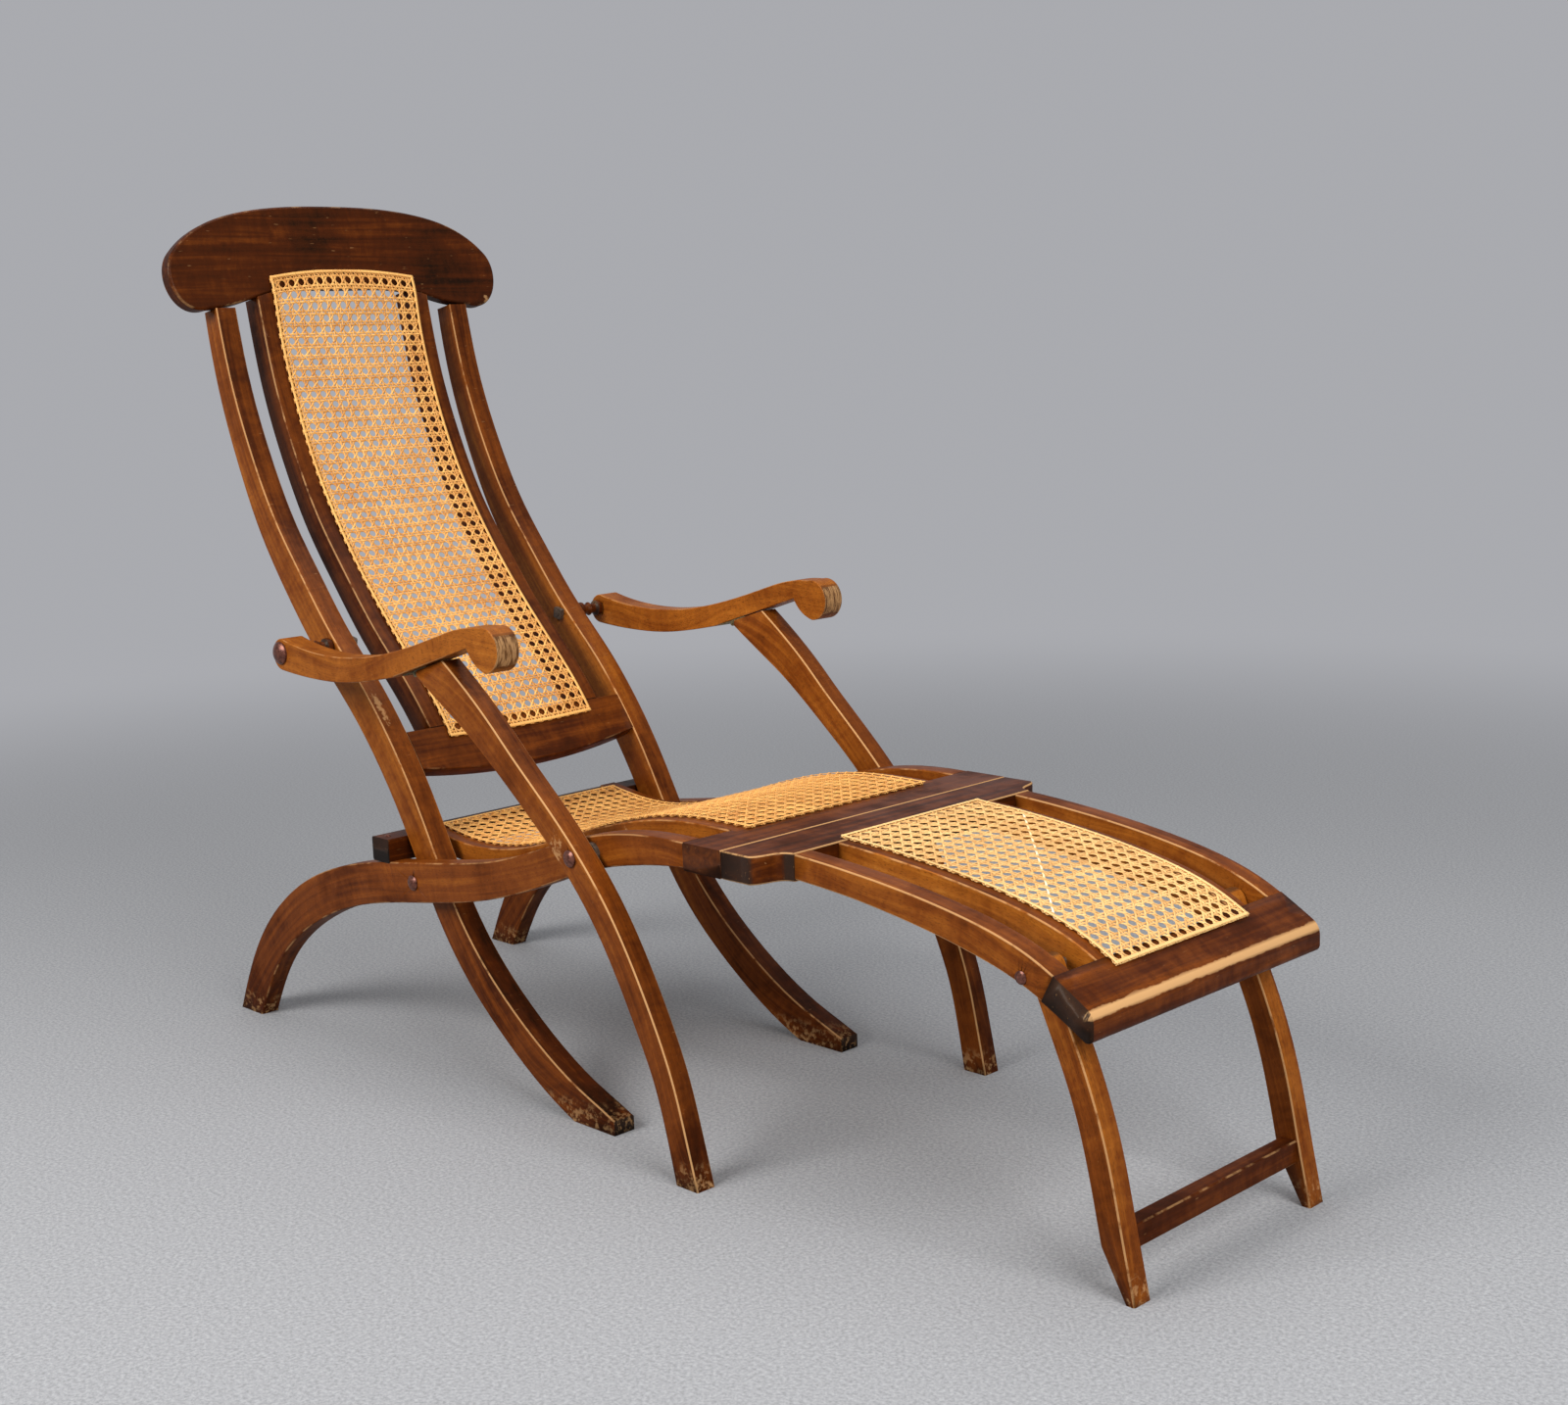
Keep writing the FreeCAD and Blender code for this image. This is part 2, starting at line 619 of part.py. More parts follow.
def make_arm(side):
    """A scrolled arm, cut from one board."""
    y, thick = across(side, arm_inner, arm_half)
    pivot = arm_pivot
    round_top = vec(pivot.x + arm_brow, 0, pivot.z + arm_end_radius)
    round_end = vec(pivot.x - arm_end_radius, 0, pivot.z - arm_brow)
    round_low = vec(pivot.x, 0, pivot.z - arm_end_radius - arm_chin)
    lead = math.radians(105)
    scroll_top = vec(scroll_x + scroll_radius * math.cos(lead), 0,
                     scroll_z + scroll_radius * math.sin(lead))
    scroll_low = vec(scroll_x, 0, scroll_z - scroll_radius)
    scroll_front = vec(scroll_x + scroll_radius, 0, scroll_z)
    hook = vec(scroll_x - scroll_radius * 0.82, 0, scroll_z - scroll_radius * 0.57)
    notch = vec(pad_end[0], 0, pad_end[1])
    start = vec(pad_start[0], 0, pad_start[1])
    upper = [round_top] + [arm_point(x, z) for x, z in ARM_TOP] + [scroll_top]
    under = [start] + [arm_point(x, z) for x, z in reversed(ARM_UNDER)] + [round_low]
    edges = [spline_edge(upper),
             Part.Arc(scroll_top, scroll_front, scroll_low).toShape(),
             Part.Arc(scroll_low, hook, notch).toShape(),
             Part.makeLine(notch, start),
             spline_edge(under),
             Part.Arc(round_low, round_end, round_top).toShape()]
    body = outline_board(edges, thick)
    body.translate(vec(0, y, 0))
    rims = [e for e in body.Edges if abs(e.Vertexes[0].Y - e.Vertexes[-1].Y) < 1]
    body = body.makeFillet(worn_edge, rims)
    return body.cut(rod(pivot.x, pivot.z, y, y + thick, bolt_radius))


def make_spool(side):
    """The turned spacer between a stile and its arm."""
    first = stile_outer + running_gap
    length = arm_inner - first
    waist, rim = spool_radius * 0.62, spool_radius
    shares = [(0, rim * 0.8), (0.06, rim), (0.2, rim), (0.27, waist), (0.4, waist * 1.05),
              (0.5, rim * 0.9), (0.6, waist * 1.05), (0.73, waist), (0.8, rim), (0.94, rim),
              (1, rim * 0.8)]
    spool = turned(arm_pivot.x, arm_pivot.z, side * first, side,
                   [(share * length, radius) for share, radius in shares])
    return spool.cut(rod(arm_pivot.x, arm_pivot.z, side * first, side * arm_inner, bolt_radius))


def leaf(length, y_middle, sign):
    """One leaf of a butt hinge, flat on z = 0 from the pin at x = 0, with its knuckles."""
    reach = barrel_radius + running_gap
    plate = block((reach + 0.2, leaf_width), (y_middle - length / 2, y_middle + length / 2),
                  (0, leaf_thick))
    third = length / 3
    spans = [(-1, 1)] if sign < 0 else [(-3, -1), (1, 3)]
    solid = plate
    for low, high in spans:
        y0 = y_middle + low * third / 2 + (0.15 if low > -3 else 0)
        y1 = y_middle + high * third / 2 - (0.15 if high < 3 else 0)
        neck = block((0, reach + 0.3), (y0, y1), (0, leaf_thick))
        knuckle = rod(0, -barrel_radius + leaf_thick, y0, y1, barrel_radius)
        solid = solid.fuse(neck).fuse(knuckle)
    hole = pin_radius if sign < 0 else pin_radius + bolt_play
    pin_hole = rod(0, -barrel_radius + leaf_thick, y_middle - length, y_middle + length, hole)
    solid = solid.cut(pin_hole)
    if sign < 0:
        solid = solid.mirror(vec(0, 0, 0), vec(1, 0, 0))
    return solid.removeSplitter()


def placed(shape, angle, point):
    """Turn a piece about the Y axis, nose up by an angle, and carry its origin to a point."""
    moved = shape.copy()
    moved.rotate(vec(0, 0, 0), vec(0, 1, 0), -angle)
    moved.translate(point)
    return moved


def seated_leaf(length, y_middle, sign, angle, point):
    """A leaf whose outer face lies on the board above, with its pin on the point."""
    up = barrel_radius - leaf_thick
    lifted = leaf(length, y_middle, sign)
    lifted.translate(vec(0, 0, up))
    return placed(lifted, angle, point)


def arm_leaf_y(side):
    """Middle of an arm hinge, over the top of its splayed leg."""
    at_top = leg_inner_at_pivot + board / 2 + leg_splay * (arm_hinge.z - leg_pivot.z)
    return side * at_top


for side, name in NAMES.items():
    PARTS["support_leg_" + name] = make_support_leg(side)
    PARTS["arm_" + name] = make_arm(side)
    PARTS["arm_spool_" + name] = make_spool(side)
    PARTS["arm_bolt_" + name] = domed(arm_pivot.x, arm_pivot.z, side * arm_half, side,
                                      knob_radius, knob_height, side * (stile_outer + running_gap))
    middle = arm_leaf_y(side)
    PARTS["arm_hinge_upper_leaf_" + name] = seated_leaf(arm_leaf_length, middle, -1, pad_angle,
                                                        arm_hinge)
    PARTS["arm_hinge_lower_leaf_" + name] = seated_leaf(arm_leaf_length, middle, 1, pad_angle,
                                                        arm_hinge)
    half_pin = arm_leaf_length / 2 + pin_end
    PARTS["arm_hinge_pin_" + name] = rod(arm_hinge.x, arm_hinge.z, middle - half_pin,
                                         middle + half_pin, pin_radius)


# Leg rest
def make_rest_rear():
    """The knee rail of the leg rest: full width at the knee, drawn in by an ogee to the rails."""
    step_x = rest_rail_x - ogee_run
    left = [vec(step_x, seat_half, 0), vec(step_x + ogee_lip, seat_half - ogee_depth, 0),
            vec(step_x + ogee_run / 2, rest_half + ogee_lip, 0), vec(rest_rail_x, rest_half, 0)]
    right = [vec(p.x, -p.y, 0) for p in reversed(left)]
    first = vec(knee_x + running_gap, -seat_half, 0)
    last = vec(knee_x + running_gap, seat_half, 0)
    edges = [Part.makeLine(first, last), Part.makeLine(last, left[0]), spline_edge(left),
             Part.makeLine(left[-1], right[0]), spline_edge(right), Part.makeLine(right[-1], first)]
    body = Part.Face(Part.Wire(edges)).extrude(vec(0, 0, knee_depth))
    rims = [e for e in body.Edges if abs(e.Vertexes[0].Z - e.Vertexes[-1].Z) < 1]
    body = body.makeChamfer(worn_edge, rims)
    body.translate(vec(0, 0, knee_low))
    return body


def make_rest_front():
    """The leg rest's front rail, with a bull nose."""
    first = leg_rest.at_x(rest_front_x)
    body = spine_board(leg_rest, first, leg_rest.marks[-1], -rest_half, 2 * rest_half, count=8)
    body = keep(body, x=(-FAR, rest_tip_x))
    for radius, side in ((nose_round, 1), (nose_chin, -1)):
        middle = leg_rest.point(leg_rest.at_x(rest_tip_x)).z
        nose = [e for e in body.Edges if e.Length > rest_half and e.Vertexes[0].X > rest_tip_x - 1
                and side * (e.Vertexes[0].Z - middle) > 0]
        body = body.makeFillet(radius, nose)
    return largest(body)


rest_rear = make_rest_rear()
rest_front = make_rest_front()
rest_front_t = leg_rest.at_x(rest_front_x)
rest_rear_space = block((-FAR, rest_rail_x), (-FAR, FAR), (-FAR, FAR))


def make_rest_rail(side, inner, outer):
    y, thick = across(side, inner, outer)
    body = ease(spine_board(leg_rest, leg_rest.marks[0], rest_front_t, y, thick, count=18))
    return body.cut(rest_rear_space)


rest_rails = {}
rest_inners = {}
for side in NAMES:
    rail = make_rest_rail(side, rest_inner, rest_half)
    y, thick = across(side, rest_inner, rest_half)
    rest_rails[side] = rail.cut(rod(rest_pivot.x, rest_pivot.z, y, y + thick, bolt_radius))
    rest_inners[side] = make_rest_rail(side, rest_stile_inner, rest_stile_outer)

PARTS["leg_rest_rear_rail"] = rest_rear
PARTS["leg_rest_front_rail"] = rest_front
for side, name in NAMES.items():
    PARTS["leg_rest_side_rail_" + name] = rest_rails[side]
    PARTS["leg_rest_inner_stile_" + name] = rest_inners[side]
rest_cane = make_cane(leg_rest, leg_rest.at_x(rest_rail_x - cane_lap),
                      leg_rest.at_x(rest_front_x + cane_lap), rest_cane_half)
rest_cane_floor = block((-FAR, rest_rail_x), (-FAR, FAR), (0, knee_top + cane_seat))
PARTS["leg_rest_cane_panel"] = pierce(largest(rest_cane.cut(rest_cane_floor)), leg_rest,
                                      leg_rest.at_x(rest_rail_x), leg_rest.at_x(rest_front_x),
                                      rest_cane_half)


# Front legs
def make_front_leg(side, mortise):
    y, thick = across(side, front_leg_inner, front_leg_outer)
    body = spine_board(front_leg, front_leg.at_z(rest_pivot.z), front_leg.marks[-1], y, thick)
    top = rod(rest_pivot.x, rest_pivot.z, y, y + thick, front_leg.depth(front_leg.marks[0]) / 2)
    body = body.fuse(top).removeSplitter()
    body = keep(ease(body), z=(0, FAR))
    rear_foot = front_leg.point(front_leg.at_z(0), -1)
    rear_up = front_leg.point(front_leg.at_z(foot_taper_height), -1)
    far = waste_reach
    corners = [vec(rear_up.x, y, rear_up.z), vec(rear_foot.x + foot_taper, y, 0),
               vec(rear_foot.x + foot_taper, y, -far), vec(rear_foot.x - far, y, -far),
               vec(rear_up.x - far, y, rear_up.z)]
    wedge = Part.Face(Part.makePolygon(corners + [corners[0]])).extrude(vec(0, thick, 0))
    body = body.cut(wedge).cut(mortise)
    return largest(body.cut(rod(rest_pivot.x, rest_pivot.z, y, y + thick,
                                bolt_radius + bolt_play)))


def make_stretcher():
    top = stretcher_base + stretcher_height
    front = front_leg.point(front_leg.at_z(top), 1).x - worn_edge
    x = (front - stretcher_depth, front)
    body = block(x, (-front_leg_inner, front_leg_inner), (stretcher_base, top))
    body = body.makeChamfer(worn_edge, [e for e in body.Edges if e.Length > long_edge])
    reach = front_leg_inner + tenon_long
    middle = (x[0] + x[1]) / 2
    tenon = block((middle - tenon_thick / 2, middle + tenon_thick / 2), (-reach, reach),
                  (stretcher_base + tenon_shoulder, top - tenon_shoulder))
    return body.fuse(tenon)


stretcher = make_stretcher()
PARTS["front_stretcher"] = stretcher
for side, name in NAMES.items():
    PARTS["front_leg_" + name] = make_front_leg(side, stretcher)


# Pivots, hinges and fasteners
def pivot_bolts(pivot, face, inner_y, radius=head_radius, height=head_height):
    return both(lambda side: domed(pivot.x, pivot.z, side * face, side, radius, height,
                                   side * inner_y))


nut_end = nut_thick + nut_stand
PARTS["back_pivot_bolts"] = pivot_bolts(back_pivot, seat_half,
                                        stile_inner - running_gap - nut_end)
PARTS["back_pivot_nuts"] = both(lambda side: square_nut(
    back_pivot.x, back_pivot.z, side * (stile_inner - running_gap),
    side * (stile_inner - running_gap - nut_thick), 20))
PARTS["leg_pivot_bolts"] = pivot_bolts(leg_pivot, leg_outer_at_pivot, rail_inner - nut_end)
PARTS["leg_pivot_nuts"] = both(lambda side: square_nut(
    leg_pivot.x, leg_pivot.z, side * rail_inner, side * (rail_inner - nut_thick), 35))
PARTS["leg_pivot_spacers"] = both(lambda side: rod(
    leg_pivot.x, leg_pivot.z, side * seat_half, side * (seat_half + leg_spacer),
    spacer_radius).cut(rod(leg_pivot.x, leg_pivot.z, side * seat_half,
                           side * (seat_half + leg_spacer), bolt_radius)))
PARTS["arm_bolt_nuts"] = both(lambda side: square_nut(
    arm_pivot.x, arm_pivot.z, side * stile_inner, side * (stile_inner - nut_thick), 12).fuse(
        rod(arm_pivot.x, arm_pivot.z, side * (stile_outer - running_gap),
            side * (stile_inner - nut_end), bolt_radius)))
PARTS["front_leg_bolts"] = pivot_bolts(rest_pivot, rest_half,
                                       front_leg_inner - running_gap - nut_end,
                                       small_head_radius, small_head_height)
PARTS["front_leg_nuts"] = both(lambda side: square_nut(
    rest_pivot.x, rest_pivot.z, side * (front_leg_inner - running_gap),
    side * (front_leg_inner - running_gap - nut_thick), 5))
PARTS["knee_hinge_seat_leaves"] = both(lambda side: seated_leaf(
    knee_leaf_length, side * knee_hinge_y, -1, 0, knee_pivot))
PARTS["knee_hinge_rest_leaves"] = both(lambda side: seated_leaf(
    knee_leaf_length, side * knee_hinge_y, 1, 0, knee_pivot))
half_knee_pin = knee_leaf_length / 2 + pin_end
PARTS["knee_hinge_pins"] = both(lambda side: rod(
    knee_pivot.x, knee_pivot.z, side * knee_hinge_y - half_knee_pin,
    side * knee_hinge_y + half_knee_pin, pin_radius))
screw_x = rear_rail_x + rear_rail_width * 0.45
screw_z = rear_rail.BoundBox.ZMax


def make_screw(side):
    """The domed head of a screw that holds the rear rail down on a side rail."""
    ball = Part.makeSphere(screw_radius * 1.25, vec(screw_x, side * (rail_inner + board / 2),
                                                    screw_z - screw_radius * 0.75))
    return keep(ball, z=(screw_z, FAR))


PARTS["rear_rail_screws"] = both(make_screw)


def settle():
    """Move the origin under the middle of the chair and write one file for each piece."""
    boxes = [shape.optimalBoundingBox(False) for shape in PARTS.values()]
    middle = (min(b.XMin for b in boxes) + max(b.XMax for b in boxes)) / 2
    for shape in PARTS.values():
        shape.translate(vec(-middle, 0, 0))
    return middle


middle_x = settle()
os.makedirs("parts", exist_ok=True)
for name, shape in PARTS.items():
    shape.exportStep("parts/" + name + ".step")

for name, shape in PARTS.items():
    box = shape.optimalBoundingBox(False)
    print(name, shape.isValid(), len(shape.Solids), round(shape.Volume / 1000),
          "x %.0f..%.0f y %.0f..%.0f z %.1f..%.1f" % (box.XMin, box.XMax, box.YMin, box.YMax,
                                                      box.ZMin, box.ZMax))
for label, point in (("back", back_pivot), ("arm", arm_pivot), ("hinge", arm_hinge),
                     ("leg", leg_pivot), ("knee", knee_pivot), ("front leg", rest_pivot)):
    print(label, round(point.x - middle_x, 2), round(point.z, 2))
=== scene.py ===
# %% [markdown]
# # A steamer deck chair
# The chair is old stained beech with natural cane in its seat, back and leg rest, and browned iron
# bolts. The CAD frame already holds every board at its true size, so this lesson dresses it: it
# merges the boards for soft edges, weaves the cane strand by strand, and gives each finish a
# procedural material. Loading the frame comes first, because every piece is set against it.

import json
import math
from types import SimpleNamespace

import bmesh
import bpy
import numpy as np
from mathutils import Matrix, Vector


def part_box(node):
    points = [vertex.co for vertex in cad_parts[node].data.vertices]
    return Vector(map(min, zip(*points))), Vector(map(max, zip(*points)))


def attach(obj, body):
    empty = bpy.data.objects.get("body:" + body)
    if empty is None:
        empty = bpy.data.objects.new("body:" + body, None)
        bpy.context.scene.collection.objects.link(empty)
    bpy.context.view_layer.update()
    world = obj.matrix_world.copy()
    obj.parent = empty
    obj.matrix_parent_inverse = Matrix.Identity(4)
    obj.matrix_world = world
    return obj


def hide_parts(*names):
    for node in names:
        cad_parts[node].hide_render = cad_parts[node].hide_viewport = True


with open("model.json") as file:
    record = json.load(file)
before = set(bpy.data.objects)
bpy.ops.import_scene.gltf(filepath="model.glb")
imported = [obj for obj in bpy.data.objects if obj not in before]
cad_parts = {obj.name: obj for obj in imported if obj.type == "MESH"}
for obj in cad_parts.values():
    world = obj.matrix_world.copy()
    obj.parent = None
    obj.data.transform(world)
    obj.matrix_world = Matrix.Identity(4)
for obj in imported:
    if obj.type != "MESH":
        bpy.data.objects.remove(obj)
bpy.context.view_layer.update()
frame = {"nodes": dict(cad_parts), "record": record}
behaviour = frame["record"]["behaviour"]
pivots = {joint["name"]: joint["pos_m"] for joint in behaviour["joints"]}
body_of_node = {node: body for body, nodes in behaviour["bodies"].items() for node in nodes}

# %% [markdown]
# A finish is a tree of shader nodes, and such trees get long. They could be wired by hand in the
# editor, but short helpers keep them readable here. Every one of them takes plain values and other
# nodes' outputs alike, so a line of code reads like the formula that it stands for. Each hands
# back the output that the next one takes.

# %% Shader helpers
def fill(tree, node, inputs):
    """Link each output to the node's input of that name or number, or write a plain value there."""
    for name, value in inputs.items():
        if isinstance(value, bpy.types.NodeSocket):
            tree.links.new(value, node.inputs[name])
        else:
            node.inputs[name].default_value = value


def add_node(tree, kind, inputs=None, **settings):
    node = tree.nodes.new("ShaderNode" + kind)
    for name, value in settings.items():
        setattr(node, name, value)
    fill(tree, node, inputs or {})
    return node


def maths(tree, operation, first, second, clamp=False):
    return add_node(tree, "Math", {0: first, 1: second}, operation=operation,
                    use_clamp=clamp).outputs[0]


def plus(tree, first, second, clamp=False):
    return maths(tree, "ADD", first, second, clamp)


def minus(tree, first, second, clamp=False):
    return maths(tree, "SUBTRACT", first, second, clamp)


def times(tree, first, second, clamp=False):
    return maths(tree, "MULTIPLY", first, second, clamp)


# %% [markdown]
# Five more helpers make what old wood, cane and metal have in common: patterns, and colours that
# follow them. An image could hold a pattern, but noise has no seams and no end, and it can be drawn
# out along one axis, which is what makes grain and scratches.

# %% Pattern helpers
def mix(tree, factor, first, second):
    """Blend two colours, which are the Mix node's sockets 6 and 7."""
    first, second = ((*c, 1.0) if isinstance(c, tuple) else c for c in (first, second))
    return add_node(tree, "Mix", {0: factor, 6: first, 7: second}, data_type="RGBA").outputs[2]


def spread(tree, value, from_min, from_max, to_min=0.0, to_max=1.0):
    """Carry a value from one range to another and hold it at the ends."""
    return add_node(tree, "MapRange", {"Value": value, "From Min": from_min, "From Max": from_max,
                                       "To Min": to_min, "To Max": to_max}).outputs[0]


def ramp(tree, factor, stops):
    """A colour ramp through stops of (position, (r, g, b))."""
    node = add_node(tree, "ValToRGB", {"Fac": factor})
    elements = node.color_ramp.elements
    while len(elements) < len(stops):
        elements.new(0.5)
    for element, (position, colour) in zip(elements, stops):
        element.position = position
        element.color = (*colour, 1.0)
    return node.outputs["Color"]


def noise(tree, place, scale, detail=2.0, roughness=0.5, distortion=0.0, turn=(0.0, 0.0, 0.0)):
    """Noise at a place, where a scale of three numbers draws it out along the axes."""
    if isinstance(scale, tuple):
        place = add_node(tree, "Mapping", {"Vector": place, "Rotation": turn,
                                           "Scale": scale}).outputs[0]
        scale = 1.0
    return add_node(tree, "TexNoise", {"Vector": place, "Scale": scale, "Detail": detail,
                                       "Roughness": roughness,
                                       "Distortion": distortion}).outputs[0]


def bump(tree, height, strength, distance):
    return add_node(tree, "Bump", {"Strength": strength, "Distance": distance,
                                   "Height": height}).outputs[0]


# %% [markdown]
# What several finishes share, or what needs a name of its own, goes into a node group with named
# sockets. The Principled shader stays in the material itself, where an export can read it. The
# pattern's place is always the Object coordinate, which stays with a piece when a joint turns it.

# %% Groups and materials
def new_group(name, inputs, outputs):
    """An empty node group, with the sockets that it is given and the node that hands values out."""
    group = bpy.data.node_groups.new(name, "ShaderNodeTree")
    for label, kind in inputs:
        group.interface.new_socket(label, in_out="INPUT", socket_type="NodeSocket" + kind)
    for label, kind in outputs:
        group.interface.new_socket(label, in_out="OUTPUT", socket_type="NodeSocket" + kind)
    given = group.nodes.new("NodeGroupInput").outputs
    return group, given, group.nodes.new("NodeGroupOutput")


def use_group(tree, group, inputs):
    return add_node(tree, "Group", inputs, node_tree=group).outputs


def new_material(name, **constants):
    material = bpy.data.materials.new(name)
    material.use_nodes = True
    tree = material.node_tree
    shader = tree.nodes["Principled BSDF"]
    fill(tree, shader, {label.replace("_", " "): value for label, value in constants.items()})
    return material, tree, shader


def object_place(tree):
    return add_node(tree, "TexCoord").outputs["Object"]


def read_attribute(tree, name, output="Fac"):
    return add_node(tree, "Attribute", attribute_name=name).outputs[output]


# %% [markdown]
# Beech has three marks that a viewer reads at once: long soft growth bands, short dark ray flecks
# that lie along the grain, and, where the log was twisted, a ripple across it. Photographs of wood
# could show them, but they would repeat and would not follow a curved board. Here all three are
# noise stretched by different amounts on a coordinate that runs along the board.

# %% Wood grain group
BAND_STRETCH = (4.0, 95.0, 95.0)          # waves in a metre along, across and through a board
FLECK_STRETCH = (210.0, 1300.0, 1300.0)
CURL_STRETCH = (60.0, 26.0, 26.0)
FLECK_DEPTH = -0.35                       # how deep a fleck lies, where the bands rise by 0.5


def make_grain_group():
    group, given, ends = new_group(
        "beech grain",
        [("Along", "Vector"), ("Ripple", "Float")],
        [("Bands", "Float"), ("Flecks", "Float"), ("Curl", "Float"), ("Height", "Float")])
    bands = noise(group, given["Along"], BAND_STRETCH, 5.0, 0.6, 0.6)
    fleck_noise = noise(group, given["Along"], FLECK_STRETCH)
    flecks = spread(group, fleck_noise, 0.56, 0.70)
    curl_noise = noise(group, given["Along"], CURL_STRETCH, 3.0, 0.55, 1.4)
    curl = times(group, minus(group, curl_noise, 0.5), given["Ripple"])
    height = plus(group, times(group, bands, 0.5), times(group, flecks, FLECK_DEPTH))
    fill(group, ends, {"Bands": bands, "Flecks": flecks, "Curl": curl, "Height": height})
    return group


grain_group = make_grain_group()
print("the grain group has", len(grain_group.nodes), "nodes")


# %% [markdown]
# Old varnish rubs through on the corners first. The mask below starts from an attribute that marks
# the narrow flats along each board's edges, and breaks it with noise so that the pale line comes
# and goes as hands and deck boards wore it. Other outputs spread thin scuffs, old grime with
# painted shade that darkens the legs towards the floor, and the bare wood of feet that stood on a
# wet deck.
# Painting it by hand would take a map for each board.

# %% Edge wear group
FOOT_TOP, FOOT_SOLE = 0.034, 0.003        # heights between which chips spread over the feet
LOW_SHADE_TOP, LOW_SHADE_SOLE = 0.30, 0.02        # and between which painted shade darkens the legs towards the floor
PATCH_SCALE, CHIP_SCALE, GRIME_SCALE = 30.0, 120.0, 9.0
SCRATCH_STRETCH, SCRATCH_TURN = (900.0, 60.0, 300.0), (0.4, 0.7, 0.3)
FOOT_SHARE = 0.7


def make_wear_group():
    group, given, ends = new_group(
        "edge wear",
        [("Position", "Vector"), ("Edge", "Float")],
        [("Bare", "Float"), ("Scuffs", "Float"), ("Grime and shade", "Float")])
    place, edge = given["Position"], given["Edge"]
    height = add_node(group, "SeparateXYZ", {"Vector": place}).outputs[2]

    patch_noise = noise(group, place, PATCH_SCALE, 6.0, 0.62)
    patches = minus(group, times(group, patch_noise, 1.5), 0.25)
    level = minus(group, 1.05, edge)      # a well worn edge lets more of the noise through
    opened = times(group, minus(group, patches, level), 6.0, clamp=True)
    edge_bare = times(group, opened, times(group, edge, edge))

    chip_noise = noise(group, place, CHIP_SCALE, 4.0, 0.65)
    chipped = times(group, minus(group, chip_noise, 0.5), 9.0, clamp=True)
    foot = spread(group, height, FOOT_TOP, FOOT_SOLE)
    foot_bare = times(group, times(group, foot, chipped), FOOT_SHARE)

    scratch_noise = noise(group, place, SCRATCH_STRETCH, 1.0, turn=SCRATCH_TURN)
    grime_noise = noise(group, place, GRIME_SCALE, 4.0, 0.7)
    # painted shade: the legs grow darker towards the floor, and this is added to the grime
    low = spread(group, height, LOW_SHADE_TOP, LOW_SHADE_SOLE, 0.0, 1.1)
    fill(group, ends, {"Bare": maths(group, "MAXIMUM", edge_bare, foot_bare),
                       "Scuffs": spread(group, scratch_noise, 0.74, 0.80),
                       "Grime and shade": plus(group, spread(group, grime_noise, 0.46, 0.70), low)})
    return group


wear_group = make_wear_group()
print("the wear group has", len(wear_group.nodes), "nodes")


# %% [markdown]
# A few places have their own story: a rub where a folded leg scraped the seat rail, a streak on the
# near stile, a chip under the crest. Each could be a decal laid on the board. A small soft ball in
# space, torn by noise, needs no painted map and stays where it is on the board.

# %% Rub group
TEAR_SCALE = 170.0
STREAK_HEIGHT = 0.47


def make_rub_group():
    group, given, ends = new_group(
        "rub", [("Position", "Vector"), ("Centre", "Vector"), ("Size", "Vector")],
        [("Mask", "Float")])
    away = add_node(group, "VectorMath", {0: given["Position"], 1: given["Centre"]},
                    operation="SUBTRACT").outputs[0]
    scaled = add_node(group, "VectorMath", {0: away, 1: given["Size"]},
                      operation="DIVIDE").outputs[0]
    distance = add_node(group, "VectorMath", {0: scaled}, operation="LENGTH").outputs["Value"]
    tear = noise(group, given["Position"], TEAR_SCALE, 3.0, 0.6)
    edge = minus(group, times(group, tear, 2.0), distance)
    fill(group, ends, {"Mask": times(group, minus(group, edge, 0.25), 3.0, clamp=True)})
    return group


rub_group = make_rub_group()
leg_bolt = pivots["support_leg_fold_right"]
rail_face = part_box("seat_side_rail_right")[0][1]
stile_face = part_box("back_stile_right")[0][1]
crest_low, crest_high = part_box("crest_rail")
# the centre and the half size of each rub: beside the leg's bolt, on the stile, under the crest
rubs = [((leg_bolt[0] - 0.025, rail_face, leg_bolt[2] + 0.004), (0.016, 0.08, 0.03)),
        ((pivots["back_fold"][0] - 0.112, stile_face + 0.010, STREAK_HEIGHT),
         (0.030, 0.006, 0.048)),
        ((crest_high[0], crest_high[1] - 0.022, crest_low[2] + 0.012), (0.02, 0.007, 0.009))]
print("placed", len(rubs), "rubs")


# %% [markdown]
# The stain is a warm orange brown that sits darker in some boards than in others. Each board's mesh
# carries attributes that are worked out when it is merged: its own grain coordinate, its tone, and
# masks for end grain and for the worn flats. A material for each board could do the same, but one
# that reads them all makes no two boards look alike and keeps the chair one finish.

# %% Stain colour
STAIN = [(0.0, (0.007, 0.0017, 0.0005)), (0.25, (0.052, 0.0095, 0.0012)),
         (0.5, (0.165, 0.039, 0.0042)), (0.75, (0.33, 0.100, 0.011)), (1.0, (0.52, 0.21, 0.034))]
FLECK = (0.05, 0.012, 0.002)
OLD_END = (0.020, 0.013, 0.010)
SCUFFED = (0.36, 0.18, 0.07)
BAND_SHARE, CURL_SHARE, GRIME_AND_SHADE_SHARE = 0.62, 0.3, 0.17     # what each adds to a board's tone
FLECK_SHARE, END_SHARE, SCUFF_SHARE = 0.65, 0.85, 0.38    # how much of the stain each covers


